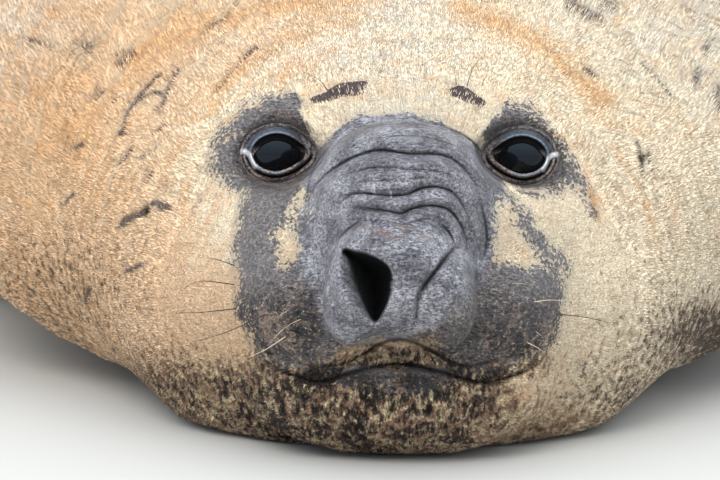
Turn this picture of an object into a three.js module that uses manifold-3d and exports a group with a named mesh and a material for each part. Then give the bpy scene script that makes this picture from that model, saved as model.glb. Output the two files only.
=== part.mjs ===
// A young bull elephant seal, life size, lying on its belly with its head drawn back into the
// folds of its neck. Millimetres, +Z up. The head looks along -Y, the body runs back along +Y,
// and the floor is z = 0. Lengths along the body, such as 1250, are counted from the nose tip.
import * as THREE from "three";
import { mergeVertices } from "three/addons/utils/BufferGeometryUtils.js";
import Module from "manifold-3d";

const wasm = await Module();
wasm.setup();

// Driving dimensions
const NOSE_HEIGHT = 202; // middle of the nose above the floor
const FACE_TILT = THREE.MathUtils.degToRad(8); // the face looks up by this much
const VIEW = { aside: -41, up: 45, distance: 3840 }; // lines on the face are laid out as seen from here
const EYE_RADIUS = 31;
const PART_GAP = 0.3; // between neighbouring parts
const FLOOR_SINK = 25; // the soft underside spreads as if it went this far into the floor

// Face frame: X to the right, B up the face, T back from the nose, all square to each other.
const NOSE = new THREE.Vector3(0, 0, NOSE_HEIGHT);
const UP_FACE = new THREE.Vector3(0, Math.sin(FACE_TILT), Math.cos(FACE_TILT));
const INTO_FACE = new THREE.Vector3(0, Math.cos(FACE_TILT), -Math.sin(FACE_TILT));

// Rounded forms of the head, as ellipsoids in the face frame: middle, half sizes, and how far
// each one blends into those before it. A paired form is on both sides.
const HEAD_FORMS = [
  { name: "skull", at: [0, 60, 440], half: [300, 215, 245], blend: 40 },
  { name: "throat", at: [0, -72, 310], half: [205, 108, 195], blend: 110 },
  { name: "jowl", at: [112, -22, 318], half: [140, 100, 146], blend: 70, paired: true },
  { name: "muzzle", at: [0, 6, 212], half: [170, 106, 130], blend: 50 },
  { name: "cheek", at: [95, 52, 222], half: [75, 62, 92], blend: 40, paired: true },
  { name: "whisker pad", at: [96, -32, 172], half: [72, 58, 84], blend: 40, paired: true },
  { name: "chin", at: [0, -116, 182], half: [145, 60, 98], blend: 55 },
  { name: "trunk", at: [0, 72, 178], half: [103, 99, 132], blend: 28 },
  { name: "nose bulb", at: [0, 8, 78], half: [72, 72, 74], blend: 28 },
  { name: "nose wing", at: [48, -18, 54], half: [30, 46, 40], blend: 14, paired: true },
  { name: "orbit", at: [133, 139, 306], half: [62, 52, 54], blend: 30, paired: true },
  { name: "brow", at: [75, 190, 330], half: [75, 40, 60], blend: 50, paired: true },
];

// Cross-sections of the neck and body: y behind the nose tip, half width, height of the back,
// and height of the widest place
const BODY_SECTIONS = [
  [190, 20, 140, 122],
  [205, 92, 158, 126],
  [225, 142, 176, 130],
  [255, 195, 202, 138],
  [295, 248, 244, 150],
  [345, 292, 304, 178],
  [405, 345, 378, 204],
  [475, 405, 464, 230],
  [565, 500, 576, 272],
  [685, 572, 694, 316],
  [820, 615, 784, 337],
  [980, 640, 846, 346],
  [1250, 655, 880, 350],
  [1650, 665, 880, 345],
  [2100, 625, 810, 315],
  [2600, 520, 650, 260],
  [3050, 375, 465, 195],
  [3400, 240, 310, 135],
  [3620, 150, 205, 95],
  [3760, 95, 140, 70],
];
const BODY_START = 190;
const BODY_END = 3740;
const UPPER_SQUARENESS = 2.2; // exponent of a section's outline above its widest place
const LOWER_SQUARENESS = 2.45;
const NECK_BLEND = 110;
const MOST_FLARE = 1.1; // how steeply the body may widen where it is blended
const NECK_ROLLS = { first: 560, last: 1160, spacing: 132, height: 6, lean: 0.27, sway: 16 };

// Where the body is parted: y on the floor, and how far the cut leans back over 800 of height
const CUTS = {
  neck: { y: 470, lean: 0 },
  chest: { y: 950, lean: -60 },
  belly: { y: 1650, lean: 0 },
  hips: { y: 2550, lean: 60 },
};

// Outlines of the parts of the face, in face millimetres to the right of the nose and above it
const PROBOSCIS_OUTLINE = [[-51, 171], [-81, 147], [-101, 115], [-108, 35], [-98, -28], [-60, -52],
  [0, -58], [60, -52], [98, -28], [108, 35], [101, 112], [76, 147], [35, 171]];
const PROBOSCIS_DEPTH = 165;
const MOUTH_LINE = [[-134, -82], [-104, -91], [-78, -97], [-48, -88], [-5, -78], [40, -86],
  [80, -96], [112, -89], [134, -80]];
const JAW_SIDE = 158;
const JAW_DEPTH = 330;

// Creases of the face, each with its depth and width
const CREASES = [
  { depth: 11, width: 9, line: [[-80, 105], [-52, 126], [-22, 135], [15, 134], [51, 125], [78, 103]] },
  { depth: 8, width: 7, line: [[-66, 74], [-48, 89], [-23, 92], [1, 89], [24, 95]] },
  { depth: 8, width: 7, line: [[28, 101], [47, 96], [66, 85]] },
  { depth: 9, width: 7, line: [[-50, 77], [-26, 77], [0, 72], [36, 81], [57, 74], [70, 54], [72, 38]] },
];
const LIPS = { depth: 14, width: 7 };
const OPEN_NOSTRIL = [[-59, 35], [-48, 36], [-26, 29], [-11, 18], [-8, 3], [-10, -13], [-18, -31], [-25, -38],
  [-35, -31], [-47, -17], [-57, -1], [-61, 15]];
const OPEN_NOSTRIL_END = 95;
const CLOSED_NOSTRIL = { depth: 18, width: 6, line: [[59, 43], [43, 27], [34, 14], [25, -2], [19, -20],
  [17, -38]] };

// Eyes, lids and ears
const EYE_AT = [131, 137, 278]; // middle of the eyeball in the face frame
const LID_OUTLINE = [[-26, -2], [-19, 12], [-2, 19], [16, 15], [32, 1], [19, -13], [0, -20], [-18, -15]];
const LID_THICKNESS = 5.5;
const EAR = { aside: 252, up: 78, rim: 15, pit: 8 };

// Flippers: where the root is in the body, which way the flipper runs and spreads, and its half
// sizes at even steps from root to tip
const TOES = 5;
const FORE_FLIPPER = {
  root: [500, 1180, 118],
  along: [0.74, 0.65, -0.19],
  across: [0.66, -0.75, 0.03],
  length: 560,
  halfWidths: [95, 105, 118, 125, 128, 118, 60],
  halfThicknesses: [85, 75, 58, 44, 32, 22, 12],
  scallop: 0.05,
  ridge: 5,
};
const HIND_FLIPPER = {
  root: [52, 3600, 92],
  along: [0.2, 0.98, -0.05],
  across: [0.88, -0.2, -0.44],
  length: 600,
  halfWidths: [58, 72, 92, 122, 150, 165, 110],
  halfThicknesses: [58, 46, 36, 28, 20, 14, 8],
  scallop: 0.16,
  ridge: 4,
};
const CLAW = { length: 50, radius: 9, rise: 8, from: 0.9 };
const TAIL = { at: [0, 3770, 104], half: [32, 110, 24] };

// Colours
const GOLD_FUR = { color: 0xc79a5e, roughness: 0.85, metalness: 0 };
const DUN_FUR = { color: 0xa98a62, roughness: 0.85, metalness: 0 };
const SLATE_SKIN = { color: 0x565052, roughness: 0.6, metalness: 0 };
const DARK_HORN = { color: 0x1d1a18, roughness: 0.45, metalness: 0 };
const DARK_EYE = { color: 0x0b0909, roughness: 0.08, metalness: 0 };

// Fineness of the meshes
const HEAD_SEGMENTS = 52;
const FACE_RINGS = 36;
const BODY_SEGMENTS = 36;
const BODY_RINGS = 30;

const clamp = THREE.MathUtils.clamp;

// A value from one column of a table, on a smooth curve through its rows
function between(table, column, y) {
  const last = table.length - 1;
  let i = 0;
  while (i < last - 1 && y > table[i + 1][0]) i++;
  const [before, low, high, after] = [i - 1, i, i + 1, i + 2].map((k) => table[clamp(k, 0, last)]);
  const span = high[0] - low[0];
  const t = clamp((y - low[0]) / span, 0, 1);
  const slopeLow = (high[column] - before[column]) / (high[0] - before[0]);
  const slopeHigh = (after[column] - low[column]) / (after[0] - low[0]);
  const t2 = t * t;
  const t3 = t2 * t;
  return (
    (2 * t3 - 3 * t2 + 1) * low[column] +
    (t3 - 2 * t2 + t) * span * slopeLow +
    (3 * t2 - 2 * t3) * high[column] +
    (t3 - t2) * span * slopeHigh
  );
}

function smoothMin(a, b, blend) {
  const near = Math.max(blend - Math.abs(a - b), 0) / blend;
  return Math.min(a, b) - (near * near * blend) / 4;
}

function ellipsoidDistance(x, y, z, half) {
  const near = Math.hypot(x / half[0], y / half[1], z / half[2]);
  const slope = Math.hypot(x / half[0] ** 2, y / half[1] ** 2, z / half[2] ** 2);
  return slope > 1e-9 ? (near * (near - 1)) / slope : -Math.min(...half);
}

function facePoint(aside, up, back) {
  return NOSE.clone()
    .add(new THREE.Vector3(aside, 0, 0))
    .addScaledVector(UP_FACE, up)
    .addScaledVector(INTO_FACE, back);
}

// Rolls of the neck, which lean forward at the back of the neck and wander a little
function neckRoll({ x, y: back, z }) {
  const y = back + NECK_ROLLS.lean * (z - 300) + NECK_ROLLS.sway * Math.sin(x / 150);
  const share = (y - NECK_ROLLS.first) / (NECK_ROLLS.last - NECK_ROLLS.first);
  if (share <= 0 || share >= 1) return 0;
  const swell = Math.sin(Math.PI * share);
  return NECK_ROLLS.height * swell * Math.cos((2 * Math.PI * (y - NECK_ROLLS.first)) / NECK_ROLLS.spacing);
}

function bodyDistance(point) {
  const y = clamp(point.y, BODY_START, BODY_SECTIONS.at(-1)[0]);
  const [halfWidth, back, widest] = [1, 2, 3].map((column) => between(BODY_SECTIONS, column, y));
  const rise = point.z - widest;
  const halfHeight = rise > 0 ? back - widest : widest + FLOOR_SINK;
  const power = rise > 0 ? UPPER_SQUARENESS : LOWER_SQUARENESS;
  const across = Math.abs(point.x / halfWidth) ** power;
  const share = (across + Math.abs(rise / halfHeight) ** power) ** (1 / power);
  const radius = Math.hypot(point.x, rise);
  const widening = (between(BODY_SECTIONS, 1, y + 10) - between(BODY_SECTIONS, 1, y - 10)) / 20;
  const flare = Math.min(widening, MOST_FLARE);
  const around = share > 1e-6 ? (radius - radius / share) / Math.hypot(1, flare) : -halfWidth;
  return Math.max(around - neckRoll(point), BODY_START - point.y, point.y - BODY_END);
}

// Distance from the skin, negative inside
function skinDistance(point) {
  const from = point.clone().sub(NOSE);
  const [up, back] = [from.dot(UP_FACE), from.dot(INTO_FACE)];
  let distance = null;
  for (const { at, half, blend, paired } of HEAD_FORMS) {
    const aside = paired ? Math.abs(from.x) : from.x;
    const one = ellipsoidDistance(aside - at[0], up - at[1], back - at[2], half);
    distance = distance === null ? one : smoothMin(distance, one, blend);
  }
  return smoothMin(distance, bodyDistance(point), NECK_BLEND);
}

// The first place at a margin from the skin on the way from a point outside to one inside
function meetSkin(outside, inside, margin) {
  const length = outside.distanceTo(inside);
  const step = inside.clone().sub(outside).divideScalar(length);
  let gone = 0;
  for (let i = 0; i < 90; i++) {
    const left = skinDistance(outside.clone().addScaledVector(step, gone)) - margin;
    if (left < 0.02 || gone > length) break;
    gone += left * 0.7;
  }
  return outside.clone().addScaledVector(step, Math.min(gone, length));
}

// The place on the skin behind a place on the face as it is seen from in front
function onFace([aside, up]) {
  const eye = facePoint(VIEW.aside, VIEW.up, -VIEW.distance);
  const step = facePoint(aside, up, 0).sub(eye).normalize();
  const outside = eye.clone().addScaledVector(step, VIEW.distance - 60);
  return meetSkin(outside, outside.clone().addScaledVector(step, 480), 0);
}

// Rays that sweep the whole animal: out of one point in the head, then along the spine, then out
// of one point in the tail. A station is 0 at the nose, 1 and 2 at the ends of the spine, 3 behind.
const HEAD_CENTRE = facePoint(0, 0, 430);
const TAIL_CENTRE = new THREE.Vector3(0, 3600, 95);
const SPINE_ARCH = 220;
const REACH = 1400;

function rayOf(station) {
  const along = clamp(station - 1, 0, 1);
  const centre = HEAD_CENTRE.clone().lerp(TAIL_CENTRE, along);
  centre.z += 4 * SPINE_ARCH * along * (1 - along) * (1 - 0.5 * along);
  const turn = (clamp(station, 0, 1) + clamp(station - 2, 0, 1)) * (Math.PI / 2);
  return { centre, turn, tilt: FACE_TILT * (1 - clamp(along * 6, 0, 1)) };
}

function fleshGeometry(stations, segments, margin) {
  const rings = stations.length - 1;
  const geometry = new THREE.SphereGeometry(1, segments, rings);
  const position = geometry.attributes.position;
  const uv = geometry.attributes.uv;
  for (let i = 0; i < position.count; i++) {
    const ring = Math.round((1 - uv.getY(i)) * rings);
    const angle = ((Math.round(uv.getX(i) * segments) % segments) / segments) * 2 * Math.PI;
    const { centre, turn, tilt } = rayOf(stations[ring]);
    const spread = ring === 0 || ring === rings ? 0 : Math.sin(turn);
    const up = -spread * Math.sin(angle);
    const direction = new THREE.Vector3(
      -spread * Math.cos(angle),
      -Math.cos(turn) * Math.cos(tilt) + up * Math.sin(tilt),
      Math.cos(turn) * Math.sin(tilt) + up * Math.cos(tilt),
    );
    const skin = meetSkin(centre.clone().addScaledVector(direction, REACH), centre, margin);
    position.setXYZ(i, skin.x, skin.y, skin.z);
  }
  return geometry;
}

function evenSteps(from, to, count) {
  return Array.from({ length: count }, (_, i) => from + ((to - from) * i) / count);
}

const FACE_STATIONS = [...evenSteps(0, 0.8, FACE_RINGS), ...evenSteps(0.8, 1.06, 8), 1.06, 1.5, 2, 2.5, 3];
const BODY_STATIONS = [0, 0.4, 0.8, ...evenSteps(1, 1.22, 14), ...evenSteps(1.22, 2, BODY_RINGS - 12),
  ...evenSteps(2, 3, 5), 3];

// Solids
function solidOf(geometry) {
  const bare = geometry.clone();
  bare.deleteAttribute("normal");
  bare.deleteAttribute("uv");
  const merged = mergeVertices(bare, 1e-3);
  const triangles = Uint32Array.from(merged.index.array);
  const make = () =>
    new wasm.Manifold(
      new wasm.Mesh({
        numProp: 3,
        vertProperties: Float32Array.from(merged.attributes.position.array),
        triVerts: triangles,
      }),
    );
  const solid = make();
  if (solid.volume() > 0) return solid;
  for (let i = 0; i < triangles.length; i += 3) {
    [triangles[i], triangles[i + 1]] = [triangles[i + 1], triangles[i]];
  }
  return make();
}

function largest(solid) {
  return solid.decompose().reduce((best, one) => (one.volume() > best.volume() ? one : best));
}

function ballSolid(centre, half, segments = 16) {
  const ball = new THREE.SphereGeometry(1, segments, Math.round(segments * 0.7));
  ball.scale(...half);
  ball.translate(...centre);
  return solidOf(ball);
}

// Everything behind a leaning plane
function behind(cut, shift) {
  const size = 9000;
  const box = new THREE.BoxGeometry(size, size, size);
  box.translate(0, size / 2, 0);
  box.rotateX(-Math.atan2(cut.lean, 800));
  box.translate(0, cut.y + shift, 0);
  return solidOf(box);
}

function lengthOf(solid, front, back) {
  let piece = solid;
  if (front) piece = piece.intersect(behind(front, PART_GAP / 2));
  if (back) piece = piece.subtract(behind(back, -PART_GAP / 2));
  return piece;
}

// Everything above the floor, or on one side of the mid-line
function halfSpace(x, y, z) {
  const size = 12000;
  const box = new THREE.BoxGeometry(size, size, size);
  box.translate((x * size) / 2, (y * size) / 2, (z * size) / 2);
  return solidOf(box);
}

const ABOVE_FLOOR = halfSpace(0, 0, 1);

// A prism whose outline is drawn on the face, from one depth to another
function facePrism(points, from, to, grow) {
  const middle = new THREE.Vector2();
  points.forEach(([x, y]) => middle.add(new THREE.Vector2(x, y).divideScalar(points.length)));
  const outline = points.map(([x, y]) => {
    const out = new THREE.Vector2(x, y).sub(middle);
    return out.setLength(out.length() + grow).add(middle);
  });
  const prism = new THREE.ExtrudeGeometry(new THREE.Shape(outline), {
    depth: to - from,
    bevelEnabled: false,
  });
  prism.translate(0, 0, -to);
  prism.rotateX(Math.PI / 2 - FACE_TILT);
  prism.translate(NOSE.x, NOSE.y, NOSE.z);
  return solidOf(prism);
}

function roundOutline(points, count) {
  const corners = points.map(([x, y]) => new THREE.Vector3(x, y, 0));
  const curve = new THREE.CatmullRomCurve3(corners, true);
  return curve.getSpacedPoints(count).slice(0, count).map((p) => [p.x, p.y]);
}

// A crease along a line on the face: a bar with a pointed section, sunk half its depth
function crease({ line, depth, width }) {
  const course = new THREE.CatmullRomCurve3(line.map(onFace)).getSpacedPoints(14);
  const last = course.length - 1;
  const bar = new THREE.SphereGeometry(1, 4, last);
  const position = bar.attributes.position;
  const uv = bar.attributes.uv;
  for (let i = 0; i < position.count; i++) {
    const row = Math.round((1 - uv.getY(i)) * last);
    const corner = Math.round(uv.getX(i) * 4) % 4;
    const run = course[Math.min(row + 1, last)].clone().sub(course[Math.max(row - 1, 0)]).normalize();
    const side = new THREE.Vector3().crossVectors(run, INTO_FACE).normalize();
    const fade = Math.sin((Math.PI * row) / last) ** 0.5;
    const [out, aside] = [[1, 0], [0, 1], [-1, 0], [0, -1]][corner];
    const place = course[row]
      .clone()
      .addScaledVector(INTO_FACE, out * depth * fade)
      .addScaledVector(side, (aside * width * fade) / 2);
    position.setXYZ(i, place.x, place.y, place.z);
  }
  return solidOf(bar);
}

// The lids: a ring laid on the eyeball round the opening
function lidRing(side) {
  const outline = roundOutline(LID_OUTLINE, 22);
  const ring = new THREE.TorusGeometry(1, 0.25, 5, outline.length);
  const position = ring.attributes.position;
  for (let i = 0; i < position.count; i++) {
    const [x, y, z] = [position.getX(i), position.getY(i), position.getZ(i)];
    const turn = (Math.atan2(y, x) / (2 * Math.PI) + 1) % 1;
    const [ox, oy] = outline[Math.round(turn * outline.length) % outline.length];
    const out = new THREE.Vector2(ox, oy).normalize();
    const off = ((Math.hypot(x, y) - 1) / 0.25) * LID_THICKNESS;
    const lift = (z / 0.25) * LID_THICKNESS;
    const ballDepth = Math.sqrt(Math.max(EYE_RADIUS ** 2 - ox * ox - oy * oy, 60));
    const place = facePoint(
      side * (EYE_AT[0] - ox - out.x * off),
      EYE_AT[1] + oy + out.y * off,
      EYE_AT[2] - ballDepth - lift,
    );
    position.setXYZ(i, place.x, place.y, place.z);
  }
  return solidOf(ring);
}

function eyeball(side, grow) {
  const middle = facePoint(side * EYE_AT[0], EYE_AT[1], EYE_AT[2]);
  const radius = EYE_RADIUS + grow;
  return ballSolid(middle.toArray(), [radius, radius, radius], 18);
}

function eyeOpening(side) {
  const points = roundOutline(LID_OUTLINE, 22).map(([x, y]) => [side * (EYE_AT[0] - x), EYE_AT[1] + y]);
  return facePrism(points, EYE_AT[2] - 70, EYE_AT[2], 0);
}

function ear(side, radius, out) {
  const place = onFace([side * EAR.aside, EAR.up]);
  return ballSolid([place.x + side * out, place.y - out, place.z], [radius, radius, radius * 1.3], 10);
}

// A flipper: a flattened paddle with a ridge and a scallop for each of its toes
function flipper(shape, side, grow) {
  const along = new THREE.Vector3(...shape.along).normalize();
  const across = new THREE.Vector3(...shape.across).normalize();
  const normal = new THREE.Vector3().crossVectors(along, across).normalize();
  const [widths, thicknesses] = [shape.halfWidths, shape.halfThicknesses].map((values) =>
    values.map((value, i) => [i / (values.length - 1), value + grow]),
  );
  const geometry = new THREE.SphereGeometry(1, 28, 15);
  const position = geometry.attributes.position;
  for (let i = 0; i < position.count; i++) {
    const [px, py, pz] = [position.getX(i), position.getY(i), position.getZ(i)];
    const run = Math.acos(clamp(-py, -1, 1)) / Math.PI;
    const spread = Math.max(Math.hypot(px, pz), 1e-9);
    const [lateral, lift] = [px / spread, pz / spread];
    const end = Math.min(1, 3 * Math.sqrt(Math.max(1 - run, 0)), 3 * Math.sqrt(Math.max(run, 0)));
    const toe = Math.cos((TOES - 1) * Math.PI * lateral);
    const fan = clamp(run * 2 - 0.8, 0, 1);
    const reach = run * shape.length * (1 + fan * shape.scallop * (toe * 0.3 + lateral ** 2 - 0.8));
    const ends = end > 1e-6 ? 1 : 0;
    const place = new THREE.Vector3(...shape.root)
      .addScaledVector(along, ends ? reach : run * shape.length * (1 - fan * shape.scallop * 0.5))
      .addScaledVector(across, lateral * between(widths, 1, run) * end)
      .addScaledVector(normal, lift * (between(thicknesses, 1, run) + fan * shape.ridge * toe) * end);
    position.setXYZ(i, side * place.x, place.y, place.z);
  }
  return solidOf(geometry).intersect(ABOVE_FLOOR);
}

function claw(toe, side) {
  const along = new THREE.Vector3(...FORE_FLIPPER.along).normalize();
  const across = new THREE.Vector3(...FORE_FLIPPER.across).normalize();
  const lateral = (toe - (TOES - 1) / 2) / (TOES / 2);
  const root = new THREE.Vector3(...FORE_FLIPPER.root)
    .addScaledVector(along, FORE_FLIPPER.length * (CLAW.from - 0.06 * lateral ** 2))
    .addScaledVector(across, lateral * FORE_FLIPPER.halfWidths.at(-2) * 0.9);
  const level = new THREE.Vector3(along.x, along.y, 0).normalize();
  const geometry = new THREE.SphereGeometry(1, 8, 6);
  const position = geometry.attributes.position;
  for (let i = 0; i < position.count; i++) {
    const run = (1 - position.getY(i)) / 2;
    const place = root
      .clone()
      .addScaledVector(level, run * CLAW.length)
      .addScaledVector(across, position.getX(i) * CLAW.radius)
      .add(new THREE.Vector3(0, 0, position.getZ(i) * CLAW.radius + CLAW.rise * (1 - run * run)));
    position.setXYZ(i, side * place.x, place.y, place.z);
  }
  return solidOf(geometry).intersect(ABOVE_FLOOR);
}

// The whole skin, fine at the face and coarse behind it, and a copy a gap larger
const frontFlesh = solidOf(fleshGeometry(FACE_STATIONS, HEAD_SEGMENTS, 0)).intersect(ABOVE_FLOOR);
const bodyFlesh = solidOf(fleshGeometry(BODY_STATIONS, BODY_SEGMENTS, 0)).intersect(ABOVE_FLOOR);
const clearFlesh = solidOf(fleshGeometry(BODY_STATIONS, BODY_SEGMENTS, PART_GAP));

function makeFace() {
  let face = lengthOf(frontFlesh, null, CUTS.neck);
  for (const side of [-1, 1]) {
    face = face.subtract(eyeOpening(side)).add(lidRing(side)).subtract(eyeball(side, PART_GAP));
    face = face.add(ear(side, EAR.rim, -8)).subtract(ear(side, EAR.pit, 6));
  }
  for (const one of [...CREASES, CLOSED_NOSTRIL, { ...LIPS, line: MOUTH_LINE }]) {
    face = face.subtract(crease(one));
  }
  face = face.subtract(facePrism(roundOutline(OPEN_NOSTRIL, 18), -80, OPEN_NOSTRIL_END, 0));
  const jawCorners = [[JAW_SIDE, -118], [JAW_SIDE, -400], [-JAW_SIDE, -400], [-JAW_SIDE, -118]];
  const jawOutline = [...MOUTH_LINE, ...jawCorners];
  const gap = PART_GAP / 2;
  const shaped = (outline, depth, grow) => facePrism(outline, -300, depth + grow, grow);
  return {
    proboscis: face.intersect(shaped(PROBOSCIS_OUTLINE, PROBOSCIS_DEPTH, -gap)),
    lower_jaw: face.intersect(shaped(jawOutline, JAW_DEPTH, -gap)),
    head: face
      .subtract(shaped(PROBOSCIS_OUTLINE, PROBOSCIS_DEPTH, gap))
      .subtract(shaped(jawOutline, JAW_DEPTH, gap)),
  };
}

const group = new THREE.Group();

function addPart(name, solid, look) {
  const mesh = largest(solid).getMesh();
  const geometry = new THREE.BufferGeometry();
  geometry.setAttribute("position", new THREE.BufferAttribute(mesh.vertProperties, 3));
  geometry.setIndex(new THREE.BufferAttribute(mesh.triVerts, 1));
  geometry.computeVertexNormals();
  const part = new THREE.Mesh(geometry, new THREE.MeshStandardMaterial(look));
  part.name = name;
  group.add(part);
}

const face = makeFace();
addPart("head", face.head, GOLD_FUR);
addPart("proboscis", face.proboscis, SLATE_SKIN);
addPart("lower_jaw", face.lower_jaw, DUN_FUR);
addPart("neck", lengthOf(bodyFlesh, CUTS.neck, CUTS.chest), GOLD_FUR);
addPart("chest", lengthOf(bodyFlesh, CUTS.chest, CUTS.belly), GOLD_FUR);
addPart("belly", lengthOf(bodyFlesh, CUTS.belly, CUTS.hips), DUN_FUR);
addPart("hips", lengthOf(bodyFlesh, CUTS.hips, null), DUN_FUR);
addPart("tail", ballSolid(TAIL.at, TAIL.half).subtract(clearFlesh), DUN_FUR);

const clearTail = ballSolid(TAIL.at, TAIL.half.map((size) => size + PART_GAP));
for (const [word, side] of [["right", -1], ["left", 1]]) {
  const ownSide = halfSpace(side, 0, 0);
  ownSide.translate([side * PART_GAP / 2, 0, 0]);
  const fore = flipper(FORE_FLIPPER, side, 0).subtract(clearFlesh);
  const hind = flipper(HIND_FLIPPER, side, 0).intersect(ownSide).subtract(clearFlesh).subtract(clearTail);
  addPart(`eye_${word}`, eyeball(side, 0), DARK_EYE);
  addPart(`fore_flipper_${word}`, fore, DUN_FUR);
  addPart(`hind_flipper_${word}`, hind, DUN_FUR);
  const clearFore = flipper(FORE_FLIPPER, side, PART_GAP);
  for (let toe = 0; toe < TOES; toe++) {
    addPart(`claw_${word}_${toe + 1}`, claw(toe, side).subtract(clearFore), DARK_HORN);
  }
}

// The origin is at the middle of the base of the whole animal
const bounds = new THREE.Box3().setFromObject(group);
const middle = bounds.getCenter(new THREE.Vector3());
group.position.set(-middle.x, -middle.y, -bounds.min.z);
group.updateMatrixWorld(true);

export default group;
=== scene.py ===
# The looks of a young bull elephant seal that lies on its belly and looks at the camera.
# Lengths are millimetres, as in the solids, and become metres where a mesh is made.
import math

import bpy
import numpy as np
from mathutils import Matrix, Vector


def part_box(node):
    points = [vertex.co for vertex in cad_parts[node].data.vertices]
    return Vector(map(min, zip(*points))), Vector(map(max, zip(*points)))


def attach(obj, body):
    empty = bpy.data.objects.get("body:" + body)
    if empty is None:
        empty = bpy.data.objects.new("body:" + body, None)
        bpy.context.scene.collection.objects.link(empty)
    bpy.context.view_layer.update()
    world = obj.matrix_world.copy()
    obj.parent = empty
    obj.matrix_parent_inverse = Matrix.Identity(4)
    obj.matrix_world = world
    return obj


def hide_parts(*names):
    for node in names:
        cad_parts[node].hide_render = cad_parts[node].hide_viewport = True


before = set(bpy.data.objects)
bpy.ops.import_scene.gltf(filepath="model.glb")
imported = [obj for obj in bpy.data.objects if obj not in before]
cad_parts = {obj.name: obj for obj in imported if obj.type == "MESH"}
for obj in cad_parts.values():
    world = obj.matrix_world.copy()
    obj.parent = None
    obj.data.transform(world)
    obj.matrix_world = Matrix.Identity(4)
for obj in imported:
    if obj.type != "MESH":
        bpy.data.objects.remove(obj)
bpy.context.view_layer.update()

METRES = 0.001
TAU = 2 * math.pi
rng = np.random.default_rng(7)

# The animal, with the same sizes as its solids. The nose tip is at y = 0 and the floor at z = 0.
NOSE_HEIGHT = 202.0
FACE_TILT = math.radians(8)
VIEW_ASIDE, VIEW_UP, VIEW_DISTANCE = -41.0, 45.0, 3840.0
EYE_RADIUS = 31.0
EYE_AT = (131.0, 137.0, 278.0)
FLOOR_SINK = 25.0
NOSE = np.array([0.0, 0.0, NOSE_HEIGHT])
UP_FACE = np.array([0.0, math.sin(FACE_TILT), math.cos(FACE_TILT)])
INTO_FACE = np.array([0.0, math.cos(FACE_TILT), -math.sin(FACE_TILT)])

# Rounded forms of the head: middle, half sizes, blend into those before it, and whether paired
HEAD_FORMS = (
    ("skull", (0, 60, 440), (300, 215, 245), 40, False),
    ("throat", (0, -72, 310), (205, 108, 195), 110, False),
    ("jowl", (112, -22, 318), (140, 100, 146), 70, True),
    ("muzzle", (0, 6, 212), (170, 106, 130), 50, False),
    ("cheek", (95, 52, 222), (75, 62, 92), 40, True),
    ("whisker pad", (96, -32, 172), (72, 58, 84), 40, True),
    ("chin", (0, -116, 182), (145, 60, 98), 55, False),
    ("trunk", (0, 72, 178), (103, 99, 132), 28, False),
    ("nose bulb", (0, 8, 78), (72, 72, 74), 28, False),
    ("nose wing", (48, -18, 54), (30, 46, 40), 14, True),
    ("orbit", (133, 139, 306), (62, 52, 54), 30, True),
    ("brow", (75, 190, 330), (75, 40, 60), 50, True),
)

# The neck and body: y behind the nose tip, half width, height of the back, of the widest place
BODY_SECTIONS = np.array([
    (190, 20, 140, 122),
    (205, 92, 158, 126),
    (225, 142, 176, 130),
    (255, 195, 202, 138),
    (295, 248, 244, 150),
    (345, 292, 304, 178),
    (405, 345, 378, 204),
    (475, 405, 464, 230),
    (565, 500, 576, 272),
    (685, 572, 694, 316),
    (820, 615, 784, 337),
    (980, 640, 846, 346),
    (1250, 655, 880, 350),
    (1650, 665, 880, 345),
    (2100, 625, 810, 315),
    (2600, 520, 650, 260),
    (3050, 375, 465, 195),
    (3400, 240, 310, 135),
    (3620, 150, 205, 95),
    (3760, 95, 140, 70),
], float)
BODY_START, BODY_END = 190.0, 3740.0
UPPER_SQUARENESS, LOWER_SQUARENESS = 2.2, 2.45
NECK_BLEND = 110.0
MOST_FLARE = 1.1
ROLLS_FIRST, ROLLS_LAST, ROLLS_SPACING, ROLLS_HEIGHT = 560.0, 1160.0, 132.0, 6.0
ROLLS_LEAN, ROLLS_LEVEL = 0.27, 300.0
ROLLS_SWAY, ROLLS_SWAY_WIDTH = 16.0, 150.0

FORE_FLIPPER = dict(
    root=(500, 1180, 118), along=(0.74, 0.65, -0.19), across=(0.66, -0.75, 0.03), length=560,
    widths=(95, 105, 118, 125, 128, 118, 60), thicknesses=(85, 75, 58, 44, 32, 22, 12),
    scallop=0.05, ridge=5,
)
HIND_FLIPPER = dict(
    root=(52, 3600, 92), along=(0.2, 0.98, -0.05), across=(0.88, -0.2, -0.44), length=600,
    widths=(58, 72, 92, 122, 150, 165, 110), thicknesses=(58, 46, 36, 28, 20, 14, 8),
    scallop=0.16, ridge=4,
)
FLIPPER_FLARE = 26.0
TOES = 5
CLAW_LENGTH, CLAW_RADIUS, CLAW_RISE, CLAW_FROM = 50.0, 9.0, 8.0, 0.9
TAIL_AT, TAIL_HALF = (0, 3770, 104), (32, 110, 24)

# The skin lies this far under the solids' surface, where it is furred
COAT_DEPTH = 2.5

# Rays that sweep the animal, as in the solids
SPINE_ARCH = 220.0
REACH = 1400.0
HEAD_CENTRE = NOSE + INTO_FACE * 430
TAIL_CENTRE = np.array([0.0, 3600.0, 95.0])

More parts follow.
